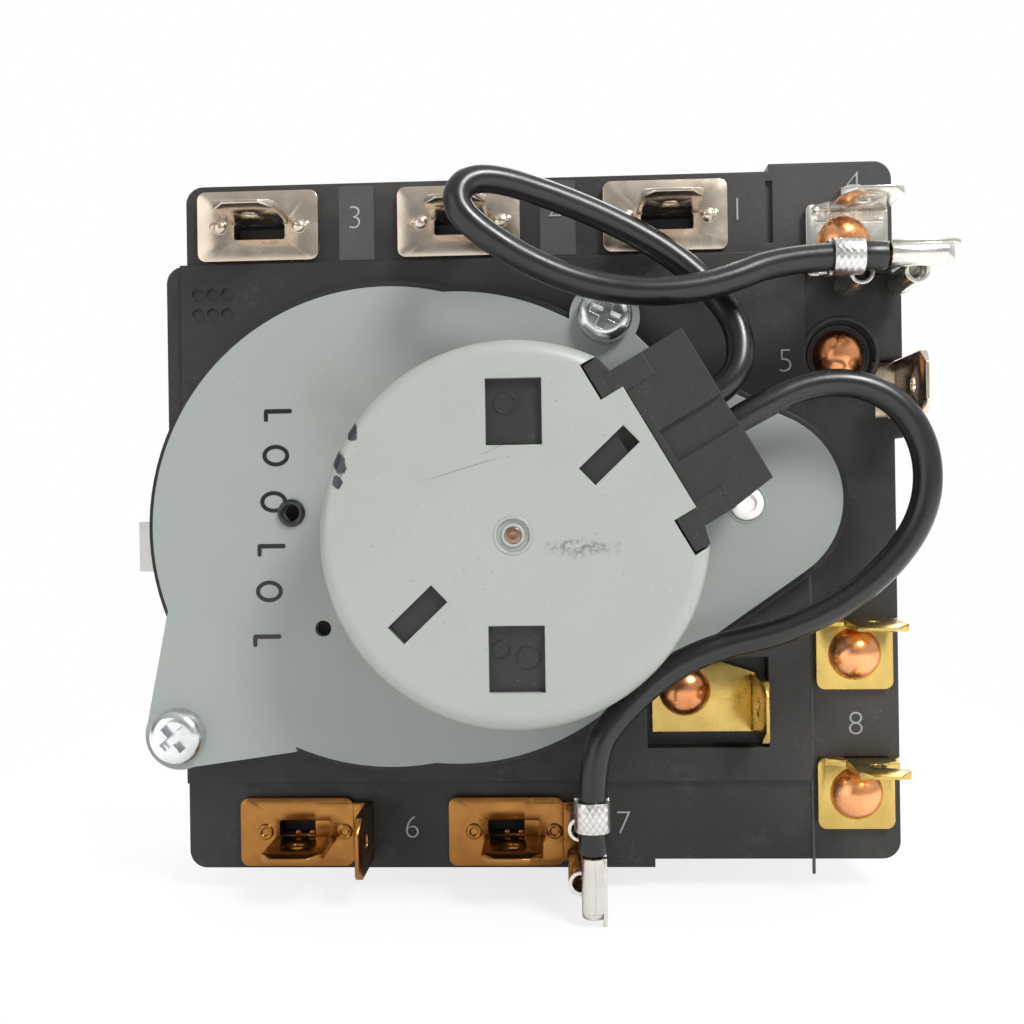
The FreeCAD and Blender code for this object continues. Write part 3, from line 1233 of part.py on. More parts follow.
# Plan place and height above the rear face of the bends between the two straight ends.
UPPER_ROUTE = [(36.6, 18.6, 8.4), (34.7, 22.8, 6.9), (30.2, 27.2, 6.8), (24.2, 30.6, 7.6), (17.4, 33.1, 9.4),
               (11.6, 34.4, 11.6), (8.9, 33.5, 12.8), (8.3, 31.2, 13.4), (10.3, 28.9, 13.2), (15.2, 25.7, 12.6),
               (21.2, 23.3, 12.0), (27.6, 22.4, 12.0), (34.0, 23.3, 11.4)]
LOWER_ROUTE = [(42.4, 13.6, 9.2), (47.8, 13.8, 9.0), (52.2, 11.4, 9.0), (54.6, 6.6, 9.0), (54.3, 1.0, 9.0),
               (51.2, -4.0, 9.0), (46.2, -8.2, 9.0), (40.0, -11.0, 8.8), (33.7, -12.4, 8.4), (28.4, -14.8, 8.4),
               (24.0, -18.6, 9.2)]


def receptacle_frame(name):
    """Plan place of the tab that a flag receptacle is pushed on."""
    if name == "upper":
        return (size("corner_lower_tab_x"),
                size("corner_plate_z") - size("corner_plate_height") / 2 + size("stock") / 2)
    return size("bottom_middle_x") + size("middle_flag_reach"), -size("flag_tab_z")


def tube(start, way, length, outer, inner):
    shell = Part.makeCylinder(outer, length, start, way)
    return shell.cut(Part.makeCylinder(inner, length + 2, start - way, way))


def slab(corner, first, second, third):
    """A box from one corner along three directions."""
    loop = [corner, corner + first, corner + first + second, corner + second, corner]
    return Part.Face(Part.makePolygon(loop)).extrude(third)


def receptacle(label, name, along, across):
    """A flag receptacle: a flat back and two rolled edges, with its wire barrel lying across the end.

    along is the direction of the wire, across points from the flat back to the rolls.
    """
    x, z = receptacle_frame(name)
    stock = size("receptacle_stock")
    half = size("receptacle_width") / 2
    roll = size("receptacle_roll")
    depth = Vector(0, -1, 0)
    run = depth * size("receptacle_length")
    end = size("stock") + size("tab_length") + size("receptacle_stop")
    centre = at(x, z, end - size("receptacle_length")) + along * size("receptacle_shift")
    clear = size("stock") / 2 + size("receptacle_gap")
    pieces = [slab(centre - along * half - across * (clear + stock), along * half * 2, across * stock, run)]
    for side in (-1, 1):
        curl = centre + along * (side * (half - roll)) + across * (clear + roll)
        pieces.append(tube(curl, depth, size("receptacle_length"), roll, roll - stock))
        wall = centre + along * (side * half - (stock if side > 0 else 0)) - across * (clear + stock)
        pieces.append(slab(wall, along * stock, across * (2 * clear + stock + roll), run))
    # The wire barrel over the grip: an insulation band, a strap with a pointed end and a conductor crimp.
    radius = size("crimp_radius")
    axis = centre + run + depth * (radius - size("crimp_sink")) + across * size("barrel_shift")
    band_at = axis - along * size("band_start")
    band = tube(band_at, along, size("band_length"), size("barrel_radius"),
                size("lead_diameter") / 2 + size("barrel_gap"))
    crimp = Part.makeCylinder(radius, size("crimp_length"), axis - along * size("crimp_start"), along)
    strap_from = size("band_length") - size("band_start") - size("lead_inset")
    strap_to = size("crimp_length") - size("crimp_start")
    low = -radius - size("strap_root")
    corners = [(strap_from, -radius), (1 - half, -radius), (1 - half, low), (half - 1, low), (half - 1, -radius),
               (strap_to, -radius), (strap_to + size("strap_point"), 0),
               (strap_to, size("strap_rise")), (strap_from, size("strap_rise"))]
    back = axis - across * (size("barrel_shift") + clear + stock)
    loop = [back + along * a + depth * b for a, b in corners]
    strap = Part.Face(Part.makePolygon(loop + loop[:1])).extrude(across * stock)
    body = pieces[0].fuse(pieces[1:] + [strap, crimp, band]).removeSplitter()
    if len(body.Solids) != 1:
        raise SystemExit("%s is in %d solids" % (label, len(body.Solids)))
    keep(shaped(label, body), label)
    end = band_at + along * (size("band_length") - size("lead_inset"))
    return [end - along * size("lead_tail"), end]


def build_leads():
    upper_end = receptacle("receptacle_upper", "upper", Vector(1, 0, 0), Vector(0, 0, -1))
    lower_end = receptacle("receptacle_lower", "lower", Vector(0, 0, -1), Vector(-1, 0, 0))
    lead("lead_upper", lead_exit(-1) + [at(*p) for p in UPPER_ROUTE] + upper_end)
    lead("lead_lower", lead_exit(1) + [at(*p) for p in LOWER_ROUTE] + lower_end)


build_case()
build_gear_plate()
build_plate_screws()
build_gears()
build_axles()
build_motor()
build_shaft()
build_panel()
build_lanced_terminals()
build_riveted_terminals()
build_blades()
build_leads()
doc.recompute()

failed = [item.Label for item in doc.Objects if "Invalid" in item.State or "Error" in item.State]
for item in parts:
    if item.Shape.isNull() or not item.Shape.isValid():
        failed.append(item.Label)
if failed:
    raise SystemExit("failed: " + ", ".join(sorted(set(failed))))

os.makedirs("parts", exist_ok=True)
for item in parts:
    item.Shape.exportStep("parts/%s.step" % item.Label)
print("pieces", len(parts))
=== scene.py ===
import json
import math

import bmesh
import bpy
from mathutils import Matrix, Vector


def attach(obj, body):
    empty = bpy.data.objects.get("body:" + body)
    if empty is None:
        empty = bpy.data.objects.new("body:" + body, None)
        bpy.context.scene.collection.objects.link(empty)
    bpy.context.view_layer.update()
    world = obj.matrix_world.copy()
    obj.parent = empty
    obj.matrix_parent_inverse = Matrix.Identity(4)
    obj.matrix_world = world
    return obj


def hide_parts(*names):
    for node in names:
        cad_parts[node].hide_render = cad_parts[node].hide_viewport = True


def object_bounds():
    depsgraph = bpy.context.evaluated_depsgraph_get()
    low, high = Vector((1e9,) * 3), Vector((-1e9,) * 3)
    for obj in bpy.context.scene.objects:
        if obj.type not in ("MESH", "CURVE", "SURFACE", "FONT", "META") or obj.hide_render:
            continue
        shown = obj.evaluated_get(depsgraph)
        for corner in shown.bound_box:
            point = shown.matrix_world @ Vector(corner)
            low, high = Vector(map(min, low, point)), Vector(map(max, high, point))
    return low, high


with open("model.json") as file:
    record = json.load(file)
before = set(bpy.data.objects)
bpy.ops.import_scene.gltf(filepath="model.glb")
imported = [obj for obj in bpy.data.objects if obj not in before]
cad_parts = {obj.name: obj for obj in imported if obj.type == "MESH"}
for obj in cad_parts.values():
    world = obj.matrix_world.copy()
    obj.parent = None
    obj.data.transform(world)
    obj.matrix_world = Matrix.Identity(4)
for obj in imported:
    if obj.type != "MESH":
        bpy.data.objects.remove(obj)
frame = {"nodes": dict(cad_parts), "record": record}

# Dryer timer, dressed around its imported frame. Plan places are in millimetres: x to the right and
# z up as the motor side is seen, height above the rear face of the case towards the motor.

MM = 0.001
CAD_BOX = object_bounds()
REAR_Y = -29.2 * MM
STOCK = 0.8
TAB_WIDTH = 6.35
TAB_TIP = 8.2
TAB_CORNER = 1.3
TAB_HOLE_RADIUS = 0.85
TAB_HOLE_INSET = 3.6
TOP_ROW_Z = 33.0
BOTTOM_ROW_Z = -33.2
RIGHT_ROW_X = 49.2
SIDE_RIVET = (48.4, 17.7)
PLATE_TOP = 4.0
CAN_TOP = 16.5
MOTOR = (13.6, -0.85)
LOBE = (37.5, 1.9)


def at(x, z, height):
    """A point above the rear face of the case, in metres."""
    return Vector((x * MM, REAR_Y - height * MM, z * MM))


# Finishes

class Finish:
    """A Principled material whose colour, roughness and relief come from procedural nodes."""

    def __init__(self, name, colour, roughness, metallic=0.0, edge=0.0):
        self.material = bpy.data.materials.new(name)
        self.material.use_nodes = True
        self.tree = self.material.node_tree
        self.shader = self.tree.nodes["Principled BSDF"]
        self.shader.inputs["Metallic"].default_value = metallic
        self.shader.inputs["Roughness"].default_value = roughness
        self.rough = roughness
        self.colour = self.plain(colour)
        self.place = self.node("ShaderNodeTexCoord").outputs["Object"]
        self.normal = None
        if edge:
            self.normal = self.node("ShaderNodeBevel", samples=6, Radius=edge).outputs["Normal"]

    def node(self, kind, **values):
        item = self.tree.nodes.new(kind)
        for name, value in values.items():
            key = name.replace("_", " ")
            if key in item.inputs:
                self.feed(item.inputs[key], value)
            else:
                setattr(item, name, value)
        return item

    def feed(self, socket, value):
        if isinstance(value, bpy.types.NodeSocket):
            self.tree.links.new(value, socket)
        else:
            socket.default_value = value

    def plain(self, colour):
        return (*colour, 1.0)

    def stretched(self, scale):
        return self.node("ShaderNodeMapping", Vector=self.place, Scale=scale).outputs["Vector"]

    def noise(self, size, detail=3.0, rough=0.55, stretch=None):
        """Soft noise from 0 to 1, whose features are about that many millimetres."""
        place = self.stretched(stretch) if stretch else self.place
        return self.node("ShaderNodeTexNoise", Vector=place, Scale=1 / (size * MM), Detail=detail,
                         Roughness=rough).outputs["Fac"]

    def specks(self, size, share):
        """Small round specks, 1 inside and 0 outside."""
        cells = self.node("ShaderNodeTexVoronoi", Vector=self.place, Scale=1 / (size * MM))
        return self.span(cells.outputs["Distance"], share, share * 0.6)

    def span(self, value, low, high, floor=0.0, top=1.0):
        """A value carried from one range to another and held inside it."""
        item = self.node("ShaderNodeMapRange", Value=value)
        for key, number in (("From Min", low), ("From Max", high), ("To Min", floor), ("To Max", top)):
            item.inputs[key].default_value = number
        return item.outputs["Result"]

    def maths(self, operation, first, second):
        item = self.node("ShaderNodeMath", operation=operation)
        self.feed(item.inputs[0], first)
        self.feed(item.inputs[1], second)
        return item.outputs["Value"]

    def spot(self, x, z, wide, high, turn=0.0, wobble=0.0, size=1.0, soft=0.5):
        """1 inside an ellipse drawn on the motor side, 0 outside; a wobble frays its edge."""
        moved = self.node("ShaderNodeMapping", vector_type="TEXTURE", Vector=self.place,
                          Location=(x * MM, 0, z * MM), Rotation=(0, math.radians(-turn), 0),
                          Scale=(wide * MM, 1e6, high * MM))
        reach = self.node("ShaderNodeVectorMath", operation="LENGTH")
        self.feed(reach.inputs[0], moved.outputs["Vector"])
        distance = reach.outputs["Value"]
        if wobble:
            rough = self.span(self.noise(size, 4.0, 0.7), 0.25, 0.75, -wobble, wobble)
            distance = self.maths("ADD", distance, rough)
        return self.span(distance, 1.0, 1.0 - soft)

    def tint(self, factor, colour):
        """Lay another colour over what is there, by a factor."""
        item = self.node("ShaderNodeMix", data_type="RGBA")
        self.feed(item.inputs["Factor"], factor)
        self.feed(item.inputs[6], self.colour)
        self.feed(item.inputs[7], self.plain(colour))
        self.colour = item.outputs[2]

    def relief(self, height, distance, strength=1.0):
        bump = self.node("ShaderNodeBump", Height=height, Distance=distance * MM, Strength=strength)
        if self.normal:
            self.feed(bump.inputs["Normal"], self.normal)
        self.normal = bump.outputs["Normal"]

    def matt(self, size, low=0.8, high=1.25):
        """Roughness that drifts about its mean."""
        return self.span(self.noise(size), 0.3, 0.7, self.rough * low, self.rough * high)

    def done(self, roughness=None):
        self.feed(self.shader.inputs["Base Color"], self.colour)
        if roughness is not None:
            self.feed(self.shader.inputs["Roughness"], roughness)
        if self.normal:
            self.feed(self.shader.inputs["Normal"], self.normal)
        return self.material


def sheet_metal(name, colour, roughness, dull, tarnish=0.5, grain=0.3, edge=0.12, relief=0.004):
    """A stamped sheet metal: drifting tarnish, a rolled grain and eased edges."""
    finish = Finish(name, colour, roughness, 1.0, edge * MM)
    finish.tint(finish.span(finish.noise(5.0), 0.4, 0.7, 0.0, tarnish), dull)
    finish.tint(finish.span(finish.noise(0.5, 2.0), 0.62, 0.75, 0.0, tarnish * 0.5), dull)
    finish.relief(finish.noise(grain, 4.0, stretch=(0.35, 1.0, 1.6)), relief, 0.6)
    return finish.done(finish.matt(1.8))


def moulded(name, colour, roughness, dust=0.0, edge=0.2, grain=0.35, relief=0.02):
    """A plastic moulding with a fine skin and settled dust."""
    finish = Finish(name, colour, roughness, 0.0, edge * MM)
    finish.tint(finish.span(finish.noise(9.0), 0.35, 0.7, 0.0, 0.6), tuple(c * 1.5 for c in colour))
    if dust:
        patches = finish.span(finish.noise(6.0, 4.0), 0.46, 0.66)
        haze = finish.span(finish.noise(0.8, 5.0, 0.7), 0.5, 0.75, 0.0, 0.10)
        finish.tint(finish.maths("MULTIPLY", haze, patches), (dust, dust, dust * 0.96))
        fine = finish.maths("MULTIPLY", finish.specks(0.55, 0.13), patches)
        finish.tint(finish.maths("MULTIPLY", fine, 0.55), (dust, dust, dust))
    finish.relief(finish.noise(grain, 5.0), relief, 0.5)
    return finish.done(finish.matt(2.5, 0.85, 1.15))


def coated_plate():
    """The gear plate: smooth satin grey-green paint with a few rubs, and a painted shadow on the plate at
    the left of the motor can.
    """
    finish = Finish("gear_plate_grey", (0.250, 0.272, 0.256), 0.42, 0.0, 0.15 * MM)
    finish.shader.inputs["Specular IOR Level"].default_value = 0.65
    finish.tint(finish.span(finish.noise(22.0, 2.0), 0.35, 0.65, 0.0, 0.30), (0.215, 0.235, 0.220))
    # Painted shadow: a soft darker patch on the plate at the left side of the can.
    finish.tint(finish.spot(-4.5, 12.5, 5.0, 9.0, 20, 0.5, 5.0, 0.9), (0.228, 0.242, 0.226))
    finish.tint(finish.maths("MULTIPLY", finish.specks(1.3, 0.07), 0.5), (0.42, 0.44, 0.42))
    finish.relief(finish.noise(0.5, 4.0), 0.006, 0.5)
    return finish.done(finish.matt(6.0, 0.9, 1.15))


def coated_can():
    """The motor can: light satin grey with rubs, two scratches, a smudge and three spots of ink."""
    finish = Finish("can_grey", (0.300, 0.318, 0.298), 0.36, 0.0, 0.2 * MM)
    finish.shader.inputs["Specular IOR Level"].default_value = 0.8
    finish.tint(finish.span(finish.noise(14.0, 3.0), 0.35, 0.68, 0.0, 0.30), (0.255, 0.270, 0.250))
    finish.tint(finish.maths("MULTIPLY", finish.specks(1.1, 0.09), 0.55), (0.44, 0.46, 0.44))
    finish.tint(finish.maths("MULTIPLY", finish.specks(1.9, 0.06), 0.6), (0.13, 0.14, 0.13))
    scratches = ((9.0, 5.5, 4.8, 0.07, 16, 0.7, (0.10, 0.105, 0.10)),
                 (12.1, 7.4, 2.2, 0.05, 24, 0.6, (0.12, 0.12, 0.12)))
    for x, z, wide, high, turn, share, colour in scratches:
        line = finish.spot(x, z, wide, high, turn, 0.2, 2.0)
        finish.tint(finish.maths("MULTIPLY", line, share), colour)
    crumbs = finish.span(finish.noise(0.55, 4.0, 0.75), 0.47, 0.60)
    smudge = finish.maths("MULTIPLY", finish.spot(19.9, -2.1, 4.3, 0.95, 1, 0.3, 1.0), crumbs)
    finish.tint(smudge, (0.11, 0.112, 0.105))
    for x, z, wide, high in ((-1.6, 9.3, 0.55, 1.15), (-2.8, 6.2, 0.7, 1.2), (-3.0, 4.4, 0.5, 0.8)):
        finish.tint(finish.spot(x, z, wide, high, 12, 0.35, 0.9, 0.15), (0.006, 0.007, 0.012))
    finish.relief(finish.noise(0.6, 4.0), 0.008, 0.5)
    return finish.done(finish.matt(5.0, 0.85, 1.2))


def case_moulding():
    """The case: black filled moulding, dull and dusty, with the moulded pads at its top and right painted
    a shade lighter, a painted highlight where the light falls.
    """
    finish = Finish("case_black", (0.0085, 0.0083, 0.0078), 0.5, 0.0, 0.25 * MM)
    finish.shader.inputs["Specular IOR Level"].default_value = 0.42
    finish.tint(finish.span(finish.noise(16.0, 3.0), 0.38, 0.66, 0.0, 0.8), (0.0150, 0.0142, 0.0132))
    # Painted highlight: soft lighter pools at the top edge, the top right and the right side of the case.
    finish.tint(finish.spot(44.0, 36.0, 22.0, 12.0, 0, 0.2, 9.0, 1.0), (0.040, 0.037, 0.035))
    finish.tint(finish.spot(0.0, 37.0, 30.0, 5.0, 0, 0.2, 9.0, 1.0), (0.032, 0.030, 0.028))
    finish.tint(finish.spot(50.0, -20.0, 14.0, 22.0, 0, 0.2, 9.0, 1.0), (0.034, 0.030, 0.026))
    patches = finish.span(finish.noise(6.0, 4.0), 0.48, 0.66)
    haze = finish.span(finish.noise(0.9, 5.0, 0.75), 0.5, 0.72, 0.0, 0.16)
    finish.tint(finish.maths("MULTIPLY", haze, patches), (0.16, 0.155, 0.145))
    fine = finish.maths("MULTIPLY", finish.specks(0.8, 0.10), patches)
    finish.tint(finish.maths("MULTIPLY", fine, 0.5), (0.22, 0.22, 0.21))
    finish.relief(finish.noise(0.4, 5.0), 0.02, 0.5)
    return finish.done(finish.matt(2.5, 0.85, 1.15))


def hatched_tin():
    """Tinned sheet knurled with a fine hatch, for the insulation bands."""
    finish = Finish("tinned_hatch", (0.66, 0.65, 0.62), 0.3, 1.0, 0.1 * MM)
    for turn in (35, -35):
        slant = (0, math.radians(turn), 0)
        way = finish.node("ShaderNodeMapping", Vector=finish.place, Rotation=slant)
        wave = finish.node("ShaderNodeTexWave", Vector=way.outputs["Vector"], Scale=1 / (1.6 * MM),
                           Distortion=2.0, Detail=2.0).outputs["Fac"]
        ridges = finish.maths("MULTIPLY", finish.span(wave, 0.6, 0.9), 0.35)
        finish.tint(ridges, (0.30, 0.29, 0.27))
        finish.relief(wave, 0.03, 0.5)
    return finish.done(finish.matt(1.0))


MATERIALS = {
    "case_black": case_moulding(),
    "gear_plate_grey": coated_plate(),
    "can_grey": coated_can(),
    "zinc_steel": sheet_metal("zinc_steel", (0.72, 0.75, 0.76), 0.24, (0.42, 0.44, 0.43), 0.6),
    "panel_steel": sheet_metal("panel_steel", (0.55, 0.55, 0.53), 0.36, (0.36, 0.35, 0.32), 0.5),
    "tinned": sheet_metal("tinned", (0.72, 0.70, 0.65), 0.24, (0.42, 0.38, 0.33), 0.5, relief=0.006),
    "nickel": sheet_metal("nickel", (0.62, 0.54, 0.44), 0.24, (0.42, 0.31, 0.24), 0.45),
    "brass": sheet_metal("brass", (0.56, 0.40, 0.12), 0.26, (0.34, 0.22, 0.07), 0.5),
    "copper": sheet_metal("copper", (0.86, 0.40, 0.18), 0.27, (0.52, 0.16, 0.06), 0.7, edge=0.05,
                          relief=0.012),
    "lead_pvc": moulded("lead_pvc", (0.0050, 0.0050, 0.0050), 0.30, edge=0.0, grain=1.2, relief=0.03),
    "nylon": moulded("nylon", (0.70, 0.69, 0.65), 0.45),
    "magnet": moulded("magnet", (0.05, 0.048, 0.046), 0.6),
    "winding": moulded("winding", (0.012, 0.012, 0.013), 0.5),
}
# Looks that share a slot with one of the above.
EXTRA = {
    "tarnished_brass": sheet_metal("tarnished_brass", (0.36, 0.17, 0.045), 0.22, (0.22, 0.075, 0.02), 0.6),
    "hatched": hatched_tin(),
    "bare_black": moulded("bare_black", (0.010, 0.0098, 0.0095), 0.46, 0.2),
    "dusty_black": moulded("dusty_black", (0.0095, 0.0090, 0.0083), 0.55, 0.28),
    "pad_black": moulded("pad_black", (0.040, 0.040, 0.042), 0.5, 0.2),
    "pale_print": moulded("pale_print", (0.30, 0.31, 0.33), 0.5),
    "ink": moulded("ink", (0.006, 0.006, 0.007), 0.25, edge=0.0),
    "pin_brown": sheet_metal("pin_brown", (0.30, 0.20, 0.14), 0.3, (0.14, 0.08, 0.05)),
}
NODE_LOOKS = {"rotor_axle": "pin_brown", "connector_block": "dusty_black", "coil_bobbin": "bare_black"}


# Meshes

def plan(x=0.0, z=0.0, height=0.0):
    """Local x and y to the right and up on the rear face, local z towards the motor."""
    return Matrix(((MM, 0, 0, x * MM), (0, 0, -MM, REAR_Y - height * MM), (0, MM, 0, z * MM),
                   (0, 0, 0, 1)))


def flat_up(x, z):
    """Local x to the right, local y towards the motor: a tab with its flat face up and down."""
    return Matrix(((MM, 0, 0, x * MM), (0, -MM, 0, REAR_Y), (0, 0, -MM, z * MM), (0, 0, 0, 1)))


def flat_side(x, z):
    """Local x up, local y towards the motor: a tab with its flat face left and right."""
    return Matrix(((0, 0, MM, x * MM), (0, -MM, 0, REAR_Y), (MM, 0, 0, z * MM), (0, 0, 0, 1)))


def arc(x, y, radius, start, end, steps):
    angles = [math.radians(start + (end - start) * i / steps) for i in range(steps + 1)]
    return [(x + radius * math.cos(a), y + radius * math.sin(a)) for a in angles]


def disc(x, y, radius, steps=28):
    return arc(x, y, radius, 0, 360, steps)[:-1]


def rounded(x, y, wide, high, radius, steps=6):
    """A rectangle with rounded corners about a centre."""
    across, up = wide / 2 - radius, high / 2 - radius
    points = []
    for sx, sy, start in ((1, -1, -90), (1, 1, 0), (-1, 1, 90), (-1, -1, 180)):
        points += arc(x + sx * across, y + sy * up, radius, start, start + 90, steps)
    return points


def ellipse(x, y, wide, high, steps=30):
    turns = [math.radians(360 / steps * i) for i in range(steps)]
    return [(x + wide * math.cos(a), y + high * math.sin(a)) for a in turns]


def box_loop(x, y, wide, high):
    return [(x - wide / 2, y - high / 2), (x + wide / 2, y - high / 2),
            (x + wide / 2, y + high / 2), (x - wide / 2, y + high / 2)]


def ribbon(path, thick):
    """The closed outline of a strip bent along a path."""
    left, right = [], []
    for i, (x, y) in enumerate(path):
        before = path[max(i - 1, 0)]
        after = path[min(i + 1, len(path) - 1)]
        way = Vector((after[0] - before[0], after[1] - before[1])).normalized()
        left.append((x - way.y * thick / 2, y + way.x * thick / 2))
        right.append((x + way.y * thick / 2, y - way.x * thick / 2))
    return left + right[::-1]


def stamp(target, loops, low, high, matrix, bevel=0.1, shape=None):
    """Add a sheet cut to an outline with holes: its rims are eased, and a shape may move its points."""
    part = bmesh.new()
    for loop in loops:
        verts = [part.verts.new((x, y, low)) for x, y in loop]
        for i, vert in enumerate(verts):
            part.edges.new((verts[i - 1], vert))
    bmesh.ops.triangle_fill(part, use_beauty=True, edges=part.edges[:])
    grown = bmesh.ops.extrude_face_region(part, geom=part.faces[:])
    moved = [v for v in grown["geom"] if isinstance(v, bmesh.types.BMVert)]
    bmesh.ops.translate(part, vec=(0, 0, high - low), verts=moved)
    bmesh.ops.recalc_face_normals(part, faces=part.faces[:])
    if bevel:
        rims = [e for e in part.edges if len(e.link_faces) == 2 and e.calc_face_angle() > 1.0]
        bmesh.ops.bevel(part, geom=rims, offset=bevel, segments=2, profile=0.5, affect="EDGES",
                        clamp_overlap=True)
    if shape:
        shape(part)
    join(target, part, matrix)


def join(target, part, matrix):
    part.transform(matrix)
    bmesh.ops.recalc_face_normals(part, faces=part.faces[:])
    mesh = bpy.data.meshes.new("part")
    part.to_mesh(mesh)
    part.free()
    target.from_mesh(mesh)
    bpy.data.meshes.remove(mesh)


def dome(target, x, y, low, radius, height, matrix, steps=20, rings=7):
    """A shallow closed cap standing on a plane."""
    profile = []
    for i in range(rings):
        turn = math.radians(90 * i / rings)
        profile.append((radius * math.cos(turn), low + height * math.sin(turn)))
    profile.append((0.0, low + height))
    spin(target, profile, matrix @ Matrix.Translation((x, y, 0)), steps)


def spin(target, profile, matrix, steps=32, closed=False):
    """Turn a profile of radius and height about the local z axis; an open one is capped below."""
    part = bmesh.new()
    rings = []
    for radius, height in profile:
        count = 1 if radius < 1e-6 else steps
        turns = [2 * math.pi * i / count for i in range(count)]
        rings.append([part.verts.new((radius * math.cos(a), radius * math.sin(a), height)) for a in turns])
    pairs = list(zip(rings, rings[1:]))
    if closed:
        pairs.append((rings[-1], rings[0]))
    for first, second in pairs:
        for i in range(steps):
            j = (i + 1) % steps
            corners = [first[i % len(first)], first[j % len(first)],
                       second[j % len(second)], second[i % len(second)]]
            corners = [c for k, c in enumerate(corners) if c not in corners[:k]]
            if len(corners) > 2:
                part.faces.new(corners)
    if not closed and len(rings[0]) > 1:
        part.faces.new(rings[0][::-1])
    join(target, part, matrix)


def ring(target, x, y, height, radius, tube, matrix, steps=28, flat=1.0):
    """A torus lying on a plane."""
    profile = [(radius + tube * math.cos(a), height + tube * flat * math.sin(a))
               for a in (math.radians(45 * i) for i in range(8))]
    spin(target, profile, matrix @ Matrix.Translation((x, y, 0)), steps, closed=True)


def dress(obj, slot, look=None):
    """Give a piece its slot's material, or a look of its own, all over."""
    obj.data.materials.clear()
    obj.data.materials.append(EXTRA[look] if look else MATERIALS[slot])
    return obj


def piece(name, part, slot, look=None, body="case", stands_for=()):
    """Turn a built mesh into a piece that rides on a body."""
    mesh = bpy.data.meshes.new(name)
    part.to_mesh(mesh)
    part.free()
    mesh.shade_smooth()
    mesh.set_sharp_from_angle(angle=math.radians(38))
    obj = bpy.data.objects.new(name, mesh)
    bpy.context.collection.objects.link(obj)
    dress(obj, slot, look)
    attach(obj, body)
    if stands_for:
        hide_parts(*stands_for)
    return obj


def dress_frame():
    for row in frame["record"]["subparts"]:
        obj = frame["nodes"][row["node"]]
        dress(obj, row["material_slot"], NODE_LOOKS.get(row["node"]))


# Terminals

def tab_shape(tip, bevel=1.0, edge=0.42):
    """Coin the tip of a tab thin, as a wedge over its last millimetre."""
    def shape(part):
        bmesh.ops.bisect_plane(part, geom=part.verts[:] + part.edges[:] + part.faces[:], dist=1e-5,
                               plane_co=(0, tip - bevel, 0), plane_no=(0, 1, 0))
        for vert in part.verts:
            over = vert.co.y - (tip - bevel)
            if over > 1e-4:
                vert.co.z *= 1 - (1 - edge) * over / bevel
    return shape


def tab(target, matrix, width=TAB_WIDTH, root=0.0, tip=TAB_TIP, notched=False):
    """A quick-connect tab with a bevelled tip and a detent hole."""
    half = width / 2
    hole_y = tip - TAB_HOLE_INSET
    loop = [(-half, root), (half, root)]
    if notched:
        loop += [(half, tip - 5.3), (half - 1.0, tip - 5.3)]
        loop += arc(half - 1.3, hole_y, 1.1, -80, -280, 8)
        loop += [(half - 1.0, tip - 1.9), (half, tip - 1.9)]
    loop += [(half, tip - TAB_CORNER), (half - TAB_CORNER, tip),
             (-half + TAB_CORNER, tip), (-half, tip - TAB_CORNER)]
    hole = disc(0, hole_y, TAB_HOLE_RADIUS)
    stamp(target, [loop, hole], -STOCK / 2, STOCK / 2, matrix, 0.1, tab_shape(tip))


def shoulder(target, outline, matrix):
    """The web that carries a plate up into its tab, a little thinner than the tab."""
    thin = STOCK / 2 - 0.02
    stamp(target, [outline], -thin, thin, matrix, 0.08)


def lanced(target, plate, tab_x, tab_z, window_z):
    """A plate outline with a window, and the tab lanced out of it."""
    window = rounded(tab_x, window_z, 5.6, 1.7, 0.25, 3)
    stamp(target, [plate, window], 0, STOCK, plan(), 0.22)
    tab(target, flat_up(tab_x, tab_z))


def top_plate(name, x):
    """A plate of the top row, with two half-sheared nubs at each side of its window."""
    part = bmesh.new()
    tab_x, tab_z = x + 0.2, TOP_ROW_Z + 0.6
    window_z = tab_z - 1.25
    lanced(part, rounded(x, TOP_ROW_Z, 13.3, 7.6, 0.9), tab_x, tab_z, window_z)
    for sign in (-1, 1):
        nub_x, nub_z = tab_x + sign * 4.35, window_z + 0.55
        dome(part, nub_x, nub_z, STOCK - 0.05, 0.75, 0.5, plan())
        dome(part, nub_x + 0.75 * sign, nub_z + 0.15, STOCK - 0.05, 0.4, 0.32, plan(), 12, 4)
    piece(name + "_sheet", part, "nickel", stands_for=(name,))


def bottom_plate(name, x, flag_reach):
    """A plate of the bottom row, with ring-shaped half-shears and a second tab at its right."""
    part = bmesh.new()
    z = BOTTOM_ROW_Z
    tab_x, tab_z = x + 0.9, z - 0.8
    window_z = tab_z + 1.25
    lanced(part, rounded(x, z, 12.4, 7.4, 0.9), tab_x, tab_z, window_z)
    for sign in (-1, 1):
        ring(part, tab_x + sign * 4.35, window_z - 0.4, STOCK, 0.62, 0.24, plan(), 20)
    for dx in (-0.75, 0.75):
        dome(part, tab_x + dx, tab_z + 0.75, STOCK - 0.02, 0.32, 0.1, plan(), 12, 4)
    flag_x = x + flag_reach
    foot = [(x + 2, z - 3.17), (flag_x + 0.2, z - 3.17), (flag_x + 0.4, z - 2.9),
            (flag_x + 0.4, z + 2.9), (flag_x + 0.2, z + 3.17), (x + 2, z + 3.17)]
    stamp(part, [foot], 0.01, STOCK - 0.01, plan(), 0.1)
    tab(part, flat_side(flag_x, z))
    piece(name + "_sheet", part, "brass", "tarnished_brass", stands_for=(name,))


def riveted_plate(name, z, notched):
    part = bmesh.new()
    stamp(part, [rounded(RIGHT_ROW_X, z, 8.1, 7.6, 0.9)], 0, STOCK, plan(), 0.12)
    matrix = flat_up(RIGHT_ROW_X + 1.3, z + 3.4)
    tab(part, matrix, 5.2, notched=notched)
    shoulder(part, [(-5.2, 0.05), (3.5, 0.05), (2.6, 1.6), (-2.6, 1.9), (-4.2, 1.1)], matrix)
    piece(name + "_sheet", part, "brass", stands_for=(name,))


